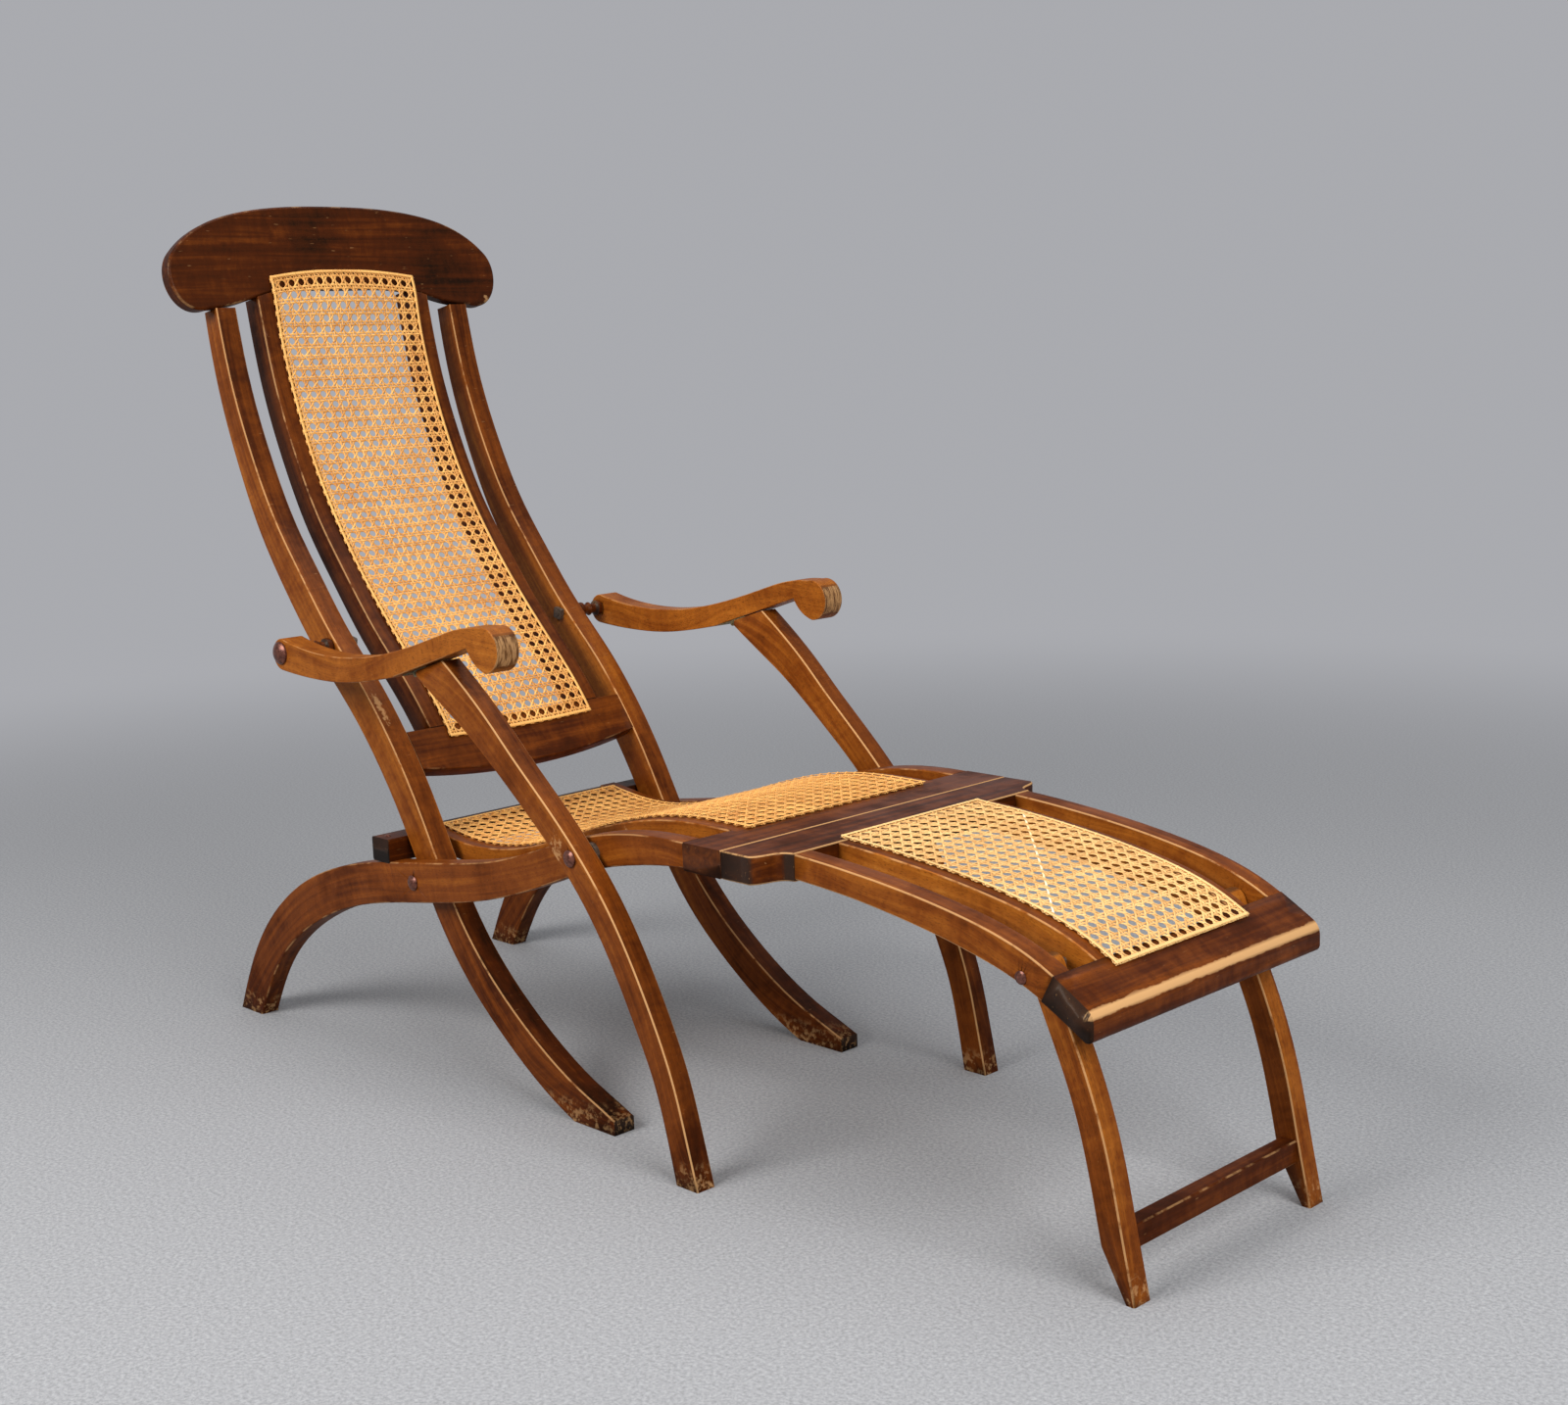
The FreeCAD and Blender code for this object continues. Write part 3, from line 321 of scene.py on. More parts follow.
def stain_colour(tree, tone, end, grain, wear):
    shade = plus(tree, tone, times(tree, minus(tree, grain["Bands"], 0.5), BAND_SHARE))
    shade = plus(tree, shade, times(tree, grain["Curl"], CURL_SHARE))
    # grime and the painted shade low on the legs darken the tone
    shade = minus(tree, shade, times(tree, wear["Grime and shade"], GRIME_AND_SHADE_SHARE))
    colour = ramp(tree, shade, STAIN)
    colour = mix(tree, times(tree, grain["Flecks"], FLECK_SHARE), colour, FLECK)
    colour = mix(tree, times(tree, end, END_SHARE), colour, OLD_END)
    scratched = times(tree, wear["Scuffs"], plus(tree, SCUFF_SHARE, end), clamp=True)
    return mix(tree, scratched, colour, SCUFFED)


# %% [markdown]
# Bare wood is the last layer, because it shows where all the others are gone. A mask of worn edges
# alone would leave the scrolls' ends plain and pale, so streaks of stain are kept in the end grain
# there, and the rubs are added at less than full strength.

# %% Bare wood
STREAK_STRETCH = (60.0, 60.0, 520.0)
RUB_SHARE = 0.5


def bare_mask(tree, place, along, end, wear):
    """Where the stain is gone: along worn edges, in streaks over end grain, and at the rubs."""
    streaks = noise(tree, along, STREAK_STRETCH, 3.0, 0.6)
    kept = times(tree, spread(tree, streaks, 0.56, 0.42), end)
    bare = times(tree, wear["Bare"], minus(tree, 1.0, kept))
    for centre, size in rubs:
        rub = use_group(tree, rub_group, {"Position": place, "Centre": centre, "Size": size})
        bare = maths(tree, "MAXIMUM", bare, times(tree, rub["Mask"], RUB_SHARE))
    return bare


# %% [markdown]
# The varnish is thin and has lost most of its shine: it is matt on dirt, on bare wood, and low on
# the legs where painted shade darkens them, and it mirrors warm light. A strong clear coat would
# put a grey haze on the dark stain, so the coat stays weak and fades out where the wood is bare.

# %% Stained wood material
BARE_WOOD, BARE_SHARE = (0.62, 0.35, 0.15), 0.92
VARNISH_TINT = (1.0, 0.66, 0.36, 1.0)     # old varnish mirrors warm light
RIPPLE = 0.7
MATT, GRIME_AND_SHADE_MATT, BARE_MATT = 0.42, 0.16, 0.2
COAT, GRIME_AND_SHADE_COAT = 0.09, 0.04


def make_wood():
    material, tree, shader = new_material("stained beech", Coat_IOR=1.45, Coat_Roughness=0.2,
                                          Specular_IOR_Level=0.1, Specular_Tint=VARNISH_TINT)
    along = read_attribute(tree, "grain", "Vector")
    tone, end, edge = (read_attribute(tree, name) for name in ("tone", "end_grain", "worn_flat"))
    place = object_place(tree)
    grain = use_group(tree, grain_group, {"Along": along, "Ripple": RIPPLE})
    wear = use_group(tree, wear_group, {"Position": place, "Edge": edge})
    bare = bare_mask(tree, place, along, end, wear)
    stain = stain_colour(tree, tone, end, grain, wear)
    matt = plus(tree, MATT, times(tree, wear["Grime and shade"], GRIME_AND_SHADE_MATT))
    coat = minus(tree, COAT, times(tree, bare, COAT), clamp=True)
    fill(tree, shader, {
        "Base Color": mix(tree, times(tree, bare, BARE_SHARE), stain, BARE_WOOD),
        "Roughness": plus(tree, matt, times(tree, bare, BARE_MATT), clamp=True),
        "Coat Weight": minus(tree, coat, times(tree, wear["Grime and shade"], GRIME_AND_SHADE_COAT), clamp=True),
        "Normal": bump(tree, grain["Height"], 0.25, 0.0004)})
    return material


wood = make_wood()
print("the wood's material has", len(wood.node_tree.nodes), "nodes")


# %% [markdown]
# A CAD board arrives as loose triangles. They could be rebuilt as clean faces, but a copy with its
# doubles merged can already shade smoothly over the small flats on its edges, which then read as
# worn corners. The CAD node itself is left alone.

# %% Merge a board
MERGE_DISTANCE = 0.00002


def to_mesh(name, bm):
    mesh = bpy.data.meshes.new(name)
    bm.to_mesh(mesh)
    bm.free()
    return mesh


def new_object(name, data):
    made = bpy.data.objects.new(name, data)
    bpy.context.scene.collection.objects.link(made)
    return made


def merged_copy(node):
    bm = bmesh.new()
    bm.from_mesh(frame["nodes"][node].data)
    bmesh.ops.remove_doubles(bm, verts=bm.verts, dist=MERGE_DISTANCE)
    for face in bm.faces:
        face.smooth = True
    return to_mesh(node + "_finished", bm)


# %% [markdown]
# A sawn board's grain runs straight, but on these long and gently swept boards it seems to follow
# the sweep. A UV map would do, but it would have to be unwrapped for each board. The board's centre
# line is fitted with a low polynomial in the side view instead, and every vertex gets its distance
# along, across and through the board. Each board starts elsewhere in the noise.

# %% Lay the grain
CENTRE_LINE_DEGREE = 5
GRAIN_STEPS = np.array((1.37, 0.731, 0.297))


def write_attribute(mesh, name, domain, values):
    """Store a number, or a row of three, for each point or face of a mesh."""
    kind, key = ("FLOAT_VECTOR", "vector") if np.ndim(values) == 2 else ("FLOAT", "value")
    layer = mesh.attributes.new(name, kind, domain)
    layer.data.foreach_set(key, np.asarray(values, dtype=np.float32).ravel())


def lay_grain(points, centres, heading, cross):
    """The grain coordinate of each point, and the grain's direction at each face."""
    turn = math.radians(heading)
    run = np.array((math.cos(turn), 0.0, math.sin(turn)))
    lift = np.array((-math.sin(turn), 0.0, math.cos(turn)))
    if cross:
        grain = np.stack((points[:, 1], points @ lift, points @ run), axis=1)
        return grain, np.array((0.0, 1.0, 0.0))
    along, height = points @ run, points @ lift
    curve = np.polynomial.Chebyshev.fit(along, height, CENTRE_LINE_DEGREE)
    grain = np.stack((along, height - curve(along), points[:, 1]), axis=1)
    slope = curve.deriv()(centres @ run)
    direction = run[None, :] + lift[None, :] * slope[:, None]
    return grain, direction / np.linalg.norm(direction, axis=1)[:, None]


# %% [markdown]
# Wear follows use. The back's stiles are bleached at mid height, where elbows and the sun reach
# them, the arms are bare at their scrolls, and the foot rail along its nose, where heels rest. The
# solids already have the narrow flats that wear left on the other edges, so a face's direction is
# enough to find them, and no edge has to be picked by hand.

# %% Mark tone and wear
FADED_HEIGHT, FADED_REACH, FADED_TONE = 0.45, 0.20, 0.13
NOSE_HEIGHT, NOSE_REACH, NOSE_DEPTH, NOSE_WEAR = 0.0285, 0.0048, 0.013, 1.6
SCROLL_WEAR = 0.76
WIDE_FACE, EDGE_FLAT = 0.5, (0.28, 0.93)  # how squarely a face looks along the board's flat axis


def board_tones(node, centres, flat, tone, painted_face_light):
    # the narrow faces get painted light and shade: lighter or darker than the wide ones, as light
    # falls on them
    tones = tone + painted_face_light * (flat < WIDE_FACE)
    if node.startswith("back_stile"):
        away = (centres[:, 2] - FADED_HEIGHT) / FADED_REACH
        tones += FADED_TONE * np.clip(1 - away ** 2, 0, 1)
    return tones


def worn_flats(node, points, flat, end, wear, cross):
    """How far each face is rubbed, or on the foot rail's round nose each point."""
    if node == "leg_rest_front_rail":
        low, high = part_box(node)
        away = np.abs(points[:, 2] - low[2] - NOSE_HEIGHT) / NOSE_REACH
        return "POINT", np.clip(NOSE_WEAR - away, 0, 1) * (points[:, 0] > high[0] - NOSE_DEPTH)
    worn = np.where((flat > EDGE_FLAT[0]) & (flat < EDGE_FLAT[1]), wear, 0.0)
    if node.startswith("arm_") and not cross:
        worn = np.maximum(worn, SCROLL_WEAR * end)
    return "FACE", worn


# %% [markdown]
# Each wooden piece now gets its merged copy, its attributes and the one material. Its soft corners
# come from weighted normals, which bend the light at the small flats and leave the shape alone,
# where a Bevel modifier would change it. Edges sharper than a set angle stay crisp.

# %% Board helper
SHARP_ANGLE = math.radians(62)
END_FROM, END_RANGE = 0.6, 0.2            # how squarely a face cuts the grain to show its end


def finish_board(number, node, heading, flat_axis, tone, painted_face_light, wear, end_stain, cross):
    """Dress a merged copy of a CAD board in stained wood.

    heading is the board's direction in the side view in degrees, and flat_axis the direction that
    its wide faces look along. The tone added to its narrow faces is painted light and shade, for
    how the light falls on them. wear says how far its edges are rubbed, and end_stain how dark its
    end grain is. A cross board runs from one side of the chair to the other.
    """
    mesh = merged_copy(node)
    points = np.array([vertex.co for vertex in mesh.vertices])
    centres = np.array([face.center for face in mesh.polygons])
    normals = np.array([face.normal for face in mesh.polygons])
    grain, direction = lay_grain(points, centres, heading, cross)
    flat = np.abs(normals @ np.array(flat_axis))
    end = np.clip((np.abs((normals * direction).sum(axis=1)) - END_FROM) / END_RANGE, 0, 1)
    write_attribute(mesh, "grain", "POINT", grain + number * GRAIN_STEPS)
    write_attribute(mesh, "tone", "FACE", board_tones(node, centres, flat, tone, painted_face_light))
    write_attribute(mesh, "end_grain", "FACE", end * end_stain)
    write_attribute(mesh, "worn_flat", *worn_flats(node, points, flat, end, wear, cross))
    mesh.set_sharp_from_angle(angle=SHARP_ANGLE)
    mesh.materials.append(wood)
    board = new_object(node + "_finished", mesh)
    board.modifiers.new("soft corners", "WEIGHTED_NORMAL").keep_sharp = True
    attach(board, body_of_node[node])
    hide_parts(node)
    return board


# %% [markdown]
# The boards came from different logs and took the stain unevenly: the crest and the rails at the
# knee are nearly black, and the arms are golden. The inner boards of the leg rest are painted
# golden on their sides, as painted light where the side rails shade them. The tones could be drawn
# at random, but here they were set against the photograph, board by board, which is why they stand
# in two tables. Boards of the two sides share a row.

# %% Boards
SIDE, UP, FORWARD = (0.0, 1.0, 0.0), (0.0, 0.0, 1.0), (1.0, 0.0, 0.0)
SIDES = ("_right", "_left")


def leaning(angle):
    """The direction that a leant cross rail faces, in the side view."""
    return (math.cos(math.radians(angle)), 0.0, math.sin(math.radians(angle)))


# board, heading, tone, painted light and shade on the narrow faces, wear, end stain
side_boards = [("seat_side_rail", 18, 0.50, 0.0, 0.62, 1.0),
               ("back_stile", 128, 0.55, -0.17, 0.76, 1.0),
               ("support_leg", 128, 0.57, -0.09, 0.88, 0.9),
               ("seat_inner_stile", 8, 0.63, -0.14, 0.60, 1.0),
               ("back_inner_stile", 122, 0.36, 0.0, 0.70, 1.0),
               ("arm", 8, 0.67, 0.0, 0.62, 0.9),
               ("leg_rest_side_rail", -14, 0.59, -0.10, 0.80, 1.0),
               # the leg rest's inner stiles are painted lighter on their sides, where the side
               # rails shade them
               ("leg_rest_inner_stile", -14, 0.74, -0.28, 0.70, 1.0),
               ("front_leg", 112, 0.59, 0.14, 0.76, 0.8)]
# board, heading, flat axis, tone, painted light and shade on the narrow faces, wear, end stain
cross_boards = [("crest_rail", 0, leaning(12.4), 0.25, 0.0, 0.52, 0.3),
                ("back_lower_rail", 0, leaning(37.0), 0.37, 0.0, 0.46, 1.0),
                ("seat_rear_rail", 0, UP, 0.22, 0.0, 0.50, 1.0),
                ("seat_front_rail", 0, UP, 0.36, 0.0, 0.84, 0.5),
                ("leg_rest_rear_rail", 0, UP, 0.29, 0.0, 0.84, 1.0),
                ("leg_rest_front_rail", -30, leaning(58.5), 0.36, 0.0, 1.0, 1.0),
                ("front_stretcher", 0, FORWARD, 0.48, 0.0, 0.62, 1.0),
                ("arm_spool_right", 0, SIDE, 0.30, 0.0, 0.5, 1.0),
                ("arm_spool_left", 0, SIDE, 0.30, 0.0, 0.5, 1.0)]
board_rows = [(stem + side, heading, SIDE, *look, False)
              for stem, heading, *look in side_boards for side in SIDES]
board_rows += [(*row, True) for row in cross_boards]
boards = [finish_board(number, *row) for number, row in enumerate(board_rows, 1)]
print("finished", len(boards), "wooden pieces")


# %% [markdown]
# The metal is plain iron and a little brass. Bolts and knobs are handled, so their domes are brown
# and shine a little; nuts and washers are duller, and the hinges are brass gone green and grey.
# Tarnish sits in spots that are darker and smoother or lighter and rougher, so one noise can drive
# colour, gloss and relief. All three finishes use the same group with their own values.

# %% Tarnish group
SPOT_SCALE = 240.0


def make_tarnish_group():
    group, given, ends = new_group(
        "tarnish",
        [("Position", "Vector"), ("Dark", "Color"), ("Light", "Color"), ("Smooth", "Float"),
         ("Rough", "Float")],
        [("Colour", "Color"), ("Roughness", "Float"), ("Height", "Float")])
    spots = noise(group, given["Position"], SPOT_SCALE, 6.0, 0.65)
    colour = mix(group, spread(group, spots, 0.35, 0.7), given["Dark"], given["Light"])
    rough = spread(group, spots, 0.3, 0.7, given["Smooth"], given["Rough"])
    fill(group, ends, {"Colour": colour, "Roughness": rough, "Height": spots})
    return group


tarnish_group = make_tarnish_group()
print("the tarnish group has", len(tarnish_group.nodes), "nodes")


# %% [markdown]
# The metal pieces need no copy, because their solids already have the domes, square nuts and
# knuckles of the real ones. Each keeps its CAD mesh and only gets a finish. Metallic values below
# one stand for iron under rust and brass under grime, which mirror less than clean metal does.

# %% Metal materials
def make_metal(name, dark, light, smooth, rough, metallic):
    material, tree, shader = new_material(name, Metallic=metallic)
    skin = use_group(tree, tarnish_group, {"Position": object_place(tree), "Dark": (*dark, 1.0),
                                           "Light": (*light, 1.0), "Smooth": smooth,
                                           "Rough": rough})
    fill(tree, shader, {"Base Color": skin["Colour"], "Roughness": skin["Roughness"],
                        "Normal": bump(tree, skin["Height"], 0.3, 0.0003)})
    return material


iron = make_metal("browned iron", (0.055, 0.016, 0.010), (0.20, 0.070, 0.045), 0.18, 0.42, 0.55)
nut_iron = make_metal("dull iron", (0.05, 0.035, 0.025), (0.15, 0.10, 0.07), 0.42, 0.62, 0.5)
brass = make_metal("tarnished brass", (0.10, 0.085, 0.045), (0.22, 0.20, 0.12), 0.38, 0.6, 0.8)
metal_nodes = [(iron, ["arm_bolt_right", "arm_bolt_left", "back_pivot_bolts", "leg_pivot_bolts",
                       "rear_rail_screws", "front_leg_bolts"]),
               (nut_iron, ["back_pivot_nuts", "leg_pivot_nuts", "leg_pivot_spacers",
                           "arm_bolt_nuts", "front_leg_nuts"]),
               (brass, [node for node in frame["nodes"] if "hinge" in node])]
for material, nodes in metal_nodes:
    for node in nodes:
        part = frame["nodes"][node]
        part.data.materials.clear()
        part.data.materials.append(material)
    print(material.name, "on", len(nodes), "nodes")


# %% [markdown]
# The cane is the skill of this chair. It has six sets of strands: a pair up, a pair across, and a
# diagonal each way. The pairs weave over and under one another at each crossing; one diagonal runs
# over the upright pairs and under the level ones, and the other the other way round. That leaves
# the open eight-sided holes. A pattern on a sheet would look flat from near by, so the strands are
# real. They are woven on a flat web first, and the web is then laid on the frame's curve.

# %% Cane sizes
PITCH = 0.0158                            # from one hole of the web to the next
QUARTER = PITCH / 4
PAIR = PITCH / 8                          # from a pair's middle to each of its strands
STRAND_WIDTH, STRAND_THICK = 0.0029, 0.0008
DIAGONAL_WIDTH = 0.0026
CROSS_HEIGHT = 0.00045
DIAGONAL_HEIGHT = 0.00085
LINE_DEGREE, LINE_POINTS = 9, 600
RIM_WIDTH, LINE_INSET = 0.00001, 0.001    # finds the sheet's edge, and keeps the line inside it


def sheet_line(node, along_z):
    """The middle line of a cane sheet in the side view, and the length up to each of its points."""
    points = np.array([vertex.co for vertex in frame["nodes"][node].data.vertices])
    key, other = (points[:, 2], points[:, 0]) if along_z else (points[:, 0], points[:, 2])
    rim = points[:, 1] > points[:, 1].max() - RIM_WIDTH
    curve = np.polynomial.Chebyshev.fit(key[rim], other[rim], LINE_DEGREE)
    steps = np.linspace(key.min() + LINE_INSET, key.max() - LINE_INSET, LINE_POINTS)
    line = np.stack((curve(steps), steps) if along_z else (steps, curve(steps)), axis=1)
    lengths = np.concatenate(([0], np.cumsum(np.linalg.norm(np.diff(line, axis=0), axis=1))))
    return line, lengths


def measure_web(node, along_z=False, arch_height=0.0, foot_bow=0.0):
    """The flat web of one panel: its size, its rows of holes, and how its ends are bowed."""
    line, lengths = sheet_line(node, along_z)
    low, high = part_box(node)
    length, width = lengths[-1] - arch_height, high[1] - low[1]
    rows_up, rows_across = int(width / 2 / PITCH), int(length / PITCH)
    print(node, "takes", 2 * rows_up + 1, "pairs up and", rows_across + 1, "across")
    return SimpleNamespace(
        line=line, lengths=lengths, length=length, width=width, arch_height=arch_height,
        foot_bow=foot_bow, rows_up=rows_up, rows_across=rows_across, first_up=-rows_up * PITCH,
        first_across=(length - rows_across * PITCH) / 2)


# %% [markdown]
# A flat web reaches the frame in two steps. The ends of the back's web are bowed, because the crest
# above it is arched and the rail below it is curved, so points near the ends slide along the web.
# Then each point is carried onto the sheet's own line, at its height above it. A Curve modifier
# could bend the web too, but each panel would need a curve of its own, and its ends the bow still.

# %% Lay a web on its sheet
END_REACH, FOOT_REACH = 0.06, 0.05        # how far from each end the bow fades out


def bow_ends(web, flat):
    crown = 1 - (flat[:, 1] / (web.width / 2)) ** 2
    near_end = np.clip((flat[:, 0] - (web.length - END_REACH)) / END_REACH, 0, 1)
    near_foot = np.clip((FOOT_REACH - flat[:, 0]) / FOOT_REACH, 0, 1)
    return flat[:, 0] + web.arch_height * crown * near_end - web.foot_bow * crown * near_foot


def lay_on(web, flat):
    """Carry points from the flat web (along, across, height) onto the sheet's curve."""
    line, lengths = web.line, web.lengths
    along = np.clip(flat[:, 0], 0, lengths[-1])
    x, z = (np.interp(along, lengths, line[:, axis]) for axis in (0, 1))
    tx, tz = (np.interp(along, lengths, np.gradient(line[:, axis], lengths)) for axis in (0, 1))
    size = np.hypot(tx, tz)
    tx, tz = tx / size, tz / size
    nx, nz = (-tz, tx) if line[-1, 0] > line[0, 0] else (tz, -tx)
    beyond = flat[:, 0] - along
    return np.stack((x + nx * flat[:, 2] + tx * beyond, flat[:, 1],
                     z + nz * flat[:, 2] + tz * beyond), axis=1)


def settle(mesh, web, flat, rise, tone):
    """Lift a mesh of flat strands by its rise, lay it on the sheet, and store its tone."""
    flat[:, 2] += rise
    flat[:, 0] = bow_ends(web, flat)
    mesh.vertices.foreach_set("co", lay_on(web, flat).astype(np.float32).ravel())
    write_attribute(mesh, "tone", "POINT", tone)
    for polygon in mesh.polygons:
        polygon.use_smooth = True
    mesh.update()
    return mesh


# %% [markdown]
# A strand of cane is a flat skin of the vine with rounded edges. It could be swept along a curve,
# one by one. Spinning a flattened six-sided ring by an angle of nothing pushes it straight ahead in
# even steps instead, a second spin repeats it in rows, and four cuts trim all of them to the web.

# %% Spin the strands
RING_SIDES = 6


def everything(bm):
    return list(bm.verts) + list(bm.edges) + list(bm.faces)


def spin_strands(web, start, direction, step, count, rows, row_step, size, trim=True):
    """A set of parallel strands as a mesh, and its points on the flat web."""
    origin, axis = (0, 0, 0), (0, 0, 1)
    bm = bmesh.new()
    ring = bmesh.ops.create_circle(bm, segments=RING_SIDES, radius=1.0)["verts"]
    bmesh.ops.scale(bm, vec=(size[0] / 2, size[1] / 2, 1.0), verts=ring)
    heading = Vector(direction).normalized()
    side = Vector((-heading.y, heading.x, 0.0))
    stand = Matrix((side, Vector(axis), heading)).transposed()
    bmesh.ops.rotate(bm, cent=origin, matrix=stand, verts=ring)
    bmesh.ops.translate(bm, vec=start, verts=ring)
    bmesh.ops.spin(bm, geom=list(bm.edges), cent=origin, axis=axis, angle=0.0, steps=count,
                   dvec=heading * step, use_duplicate=False)
    if rows:
        bmesh.ops.spin(bm, geom=everything(bm), cent=origin, axis=axis, angle=0.0, steps=rows,
                       dvec=row_step, use_duplicate=True)
    half = web.width / 2
    cuts = (((0, 0, 0), (-1, 0, 0)), ((web.length, 0, 0), (1, 0, 0)),
            ((0, -half, 0), (0, -1, 0)), ((0, half, 0), (0, 1, 0)))
    for point, normal in cuts if trim else ():
        bmesh.ops.bisect_plane(bm, geom=everything(bm), plane_co=point, plane_no=normal,
                               clear_outer=True, dist=0.000001)
    bmesh.ops.holes_fill(bm, edges=[edge for edge in bm.edges if edge.is_boundary],
                         sides=2 * RING_SIDES)
    bmesh.ops.recalc_face_normals(bm, faces=bm.faces)
    mesh = to_mesh("strands", bm)
    return mesh, np.array([vertex.co for vertex in mesh.vertices])


# %% [markdown]
# Under and over is only height: a strand is up where its partner is down. A sine of the distance
# along the strand does it, cut off at its crests, because cane lies level between two crossings.
# Each strand also gets a tone of its own from a formula, so that the web isn't one flat colour.

# %% Weave the pairs
OVERRUN = 2.5 * PITCH                     # a strand starts before the web and runs past it
STEEPNESS = 1.45                          # of the rise between two crossings


def wave(position):
    """Up at one strand of a crossing pair and down at the other, level between crossings."""
    return np.clip(np.sin(2 * math.pi * position / PITCH) * STEEPNESS, -1.0, 1.0)


def shade_of(strand, seed):
    """A fixed tone between 0 and 1 for each strand's number, by a common shuffling formula."""
    return np.modf(np.abs(np.sin(strand * 12.9898 + seed * 78.233)) * 43758.5453)[0]


def weave_pairs(web, seed):
    parts = []
    size = (STRAND_WIDTH, STRAND_THICK)
    for sign in (-1, 1):
        start = (web.first_across - PITCH + PAIR, web.first_up + sign * PAIR, 0)
        count = int((web.length + OVERRUN) / QUARTER)
        mesh, flat = spin_strands(web, start, (1, 0, 0), QUARTER, count, 2 * web.rows_up,
                                  (0, PITCH, 0), size)
        strand = np.round((flat[:, 1] - sign * PAIR) / PITCH)
        rise = sign * CROSS_HEIGHT * wave(flat[:, 0] - web.first_across)
        parts.append(settle(mesh, web, flat, rise, shade_of(strand + sign * 50, seed)))

        start = (web.first_across + sign * PAIR, web.first_up - PITCH + PAIR, 0)
        count = int((web.width + OVERRUN) / QUARTER)
        mesh, flat = spin_strands(web, start, (0, 1, 0), QUARTER, count, web.rows_across,
                                  (PITCH, 0, 0), size)
        strand = np.round((flat[:, 0] - web.first_across) / PITCH)
        rise = -sign * CROSS_HEIGHT * wave(flat[:, 1] - web.first_up)
        parts.append(settle(mesh, web, flat, rise, shade_of(strand + sign * 70, seed + 3)))
    return parts


# %% [markdown]
# The diagonals pass through the corners between the pairs, over one set and under the other. They
# start far enough outside the web that the trimmed set covers it from corner to corner. On the leg
# rest one diagonal was put in later and is paler than the rest, so it is picked out by its number.

# %% Weave the diagonals
PALE_TONE = 1.9
MENDED = (-1, 12)                         # the mended diagonal's slope and number


def weave_diagonals(web, seed, mended):
    parts = []
    step = PITCH * math.sqrt(2) / 4
    count = int((web.width + 2 * PITCH) * math.sqrt(2) / step) + 2
    rows = int((web.length + web.width) / PITCH) + 4
    for sign in (-1, 1):
        shift = math.ceil((web.width + 2 * PITCH) / PITCH) * PITCH if sign > 0 else 0.0
        start = (web.first_across + PITCH / 2 - PITCH - shift, web.first_up - PITCH, 0)
        mesh, flat = spin_strands(web, start, (sign, 1, 0), step, count, rows, (PITCH, 0, 0),
                                  (DIAGONAL_WIDTH, STRAND_THICK))
        strand = np.round((flat[:, 0] - sign * flat[:, 1]) / PITCH)
        tone = shade_of(strand + sign * 90, seed + 5)
        if mended and sign == mended[0]:
            tone = np.where(strand == mended[1], PALE_TONE, tone)
        rise = sign * DIAGONAL_HEIGHT * np.cos(2 * math.pi * (flat[:, 1] - web.first_up) / PITCH)
        parts.append(settle(mesh, web, flat, rise, tone))
    return parts


# %% [markdown]
# A thin flat binder cane covers the row of holes along each edge, held by a small loop at every
# hole. It could be one ribbon bent round the corners; four straight ribbons that cross there are
# nearer to how it is laid. The loops are short strands whose ends dip beside the ribbon.

# %% Binder
BINDER_WIDTH, BINDER_THICK, BINDER_HEIGHT = 0.0046, 0.0009, 0.00185
STITCH_WIDTH, STITCH_RISE, STITCH_DIP = 0.0022, 0.0007, 3.2
STITCH_REACH = BINDER_WIDTH * 0.62        # from a loop's middle to its end
STITCH_STEPS = 6
END_LIFT = 0.0001                         # lifts the end ribbons where they cross the side ones
OUTSIDE = 0.001                           # a ribbon starts outside the web and is trimmed


def binder_runs(web):
    """Start, direction, step, count, repeats and size of each ribbon, and of each row of loops.

    The last number is None for a ribbon, and for loops the line that they are centred on.
    """
    ribbon, loop = (BINDER_WIDTH, BINDER_THICK), (STITCH_WIDTH, BINDER_THICK)
    stitch_step = 2 * STITCH_REACH / STITCH_STEPS
    half, inset = web.width / 2, BINDER_WIDTH / 2
    side_count = int(web.length / QUARTER) + 2
    end_count = int(web.width / QUARTER) + 2
    for v, u in ((-(half - inset), inset), (half - inset, web.length - inset)):
        yield (-OUTSIDE, v, 0), (1, 0, 0), QUARTER, side_count, 0, ribbon, None
        yield ((web.first_across, v - STITCH_REACH, 0), (0, 1, 0), stitch_step, STITCH_STEPS,
               web.rows_across, loop, v)
        yield (u, -half - OUTSIDE, 0), (0, 1, 0), QUARTER, end_count, 0, ribbon, None
        yield ((u - STITCH_REACH, web.first_up, 0), (1, 0, 0), stitch_step, STITCH_STEPS,
               2 * web.rows_up, loop, u)


def bind_panel(web):
    parts = []
    for number, (start, direction, step, count, rows, size, centre) in enumerate(binder_runs(web)):
        axis = direction.index(1)
        row_step = (PITCH, 0, 0) if axis else (0, PITCH, 0)
        mesh, flat = spin_strands(web, start, direction, step, count, rows, row_step, size,
                                  trim=centre is None)
        if centre is None:
            rise = BINDER_HEIGHT + END_LIFT * (number % 4 == 2)
        else:
            away = (flat[:, axis] - centre) / STITCH_REACH
            rise = BINDER_HEIGHT + STITCH_RISE - STITCH_DIP * STITCH_RISE * away ** 2
        tone = np.full(len(flat), 0.75 + 0.05 * (number % 3))
        parts.append(settle(mesh, web, flat, rise, tone))
    return parts


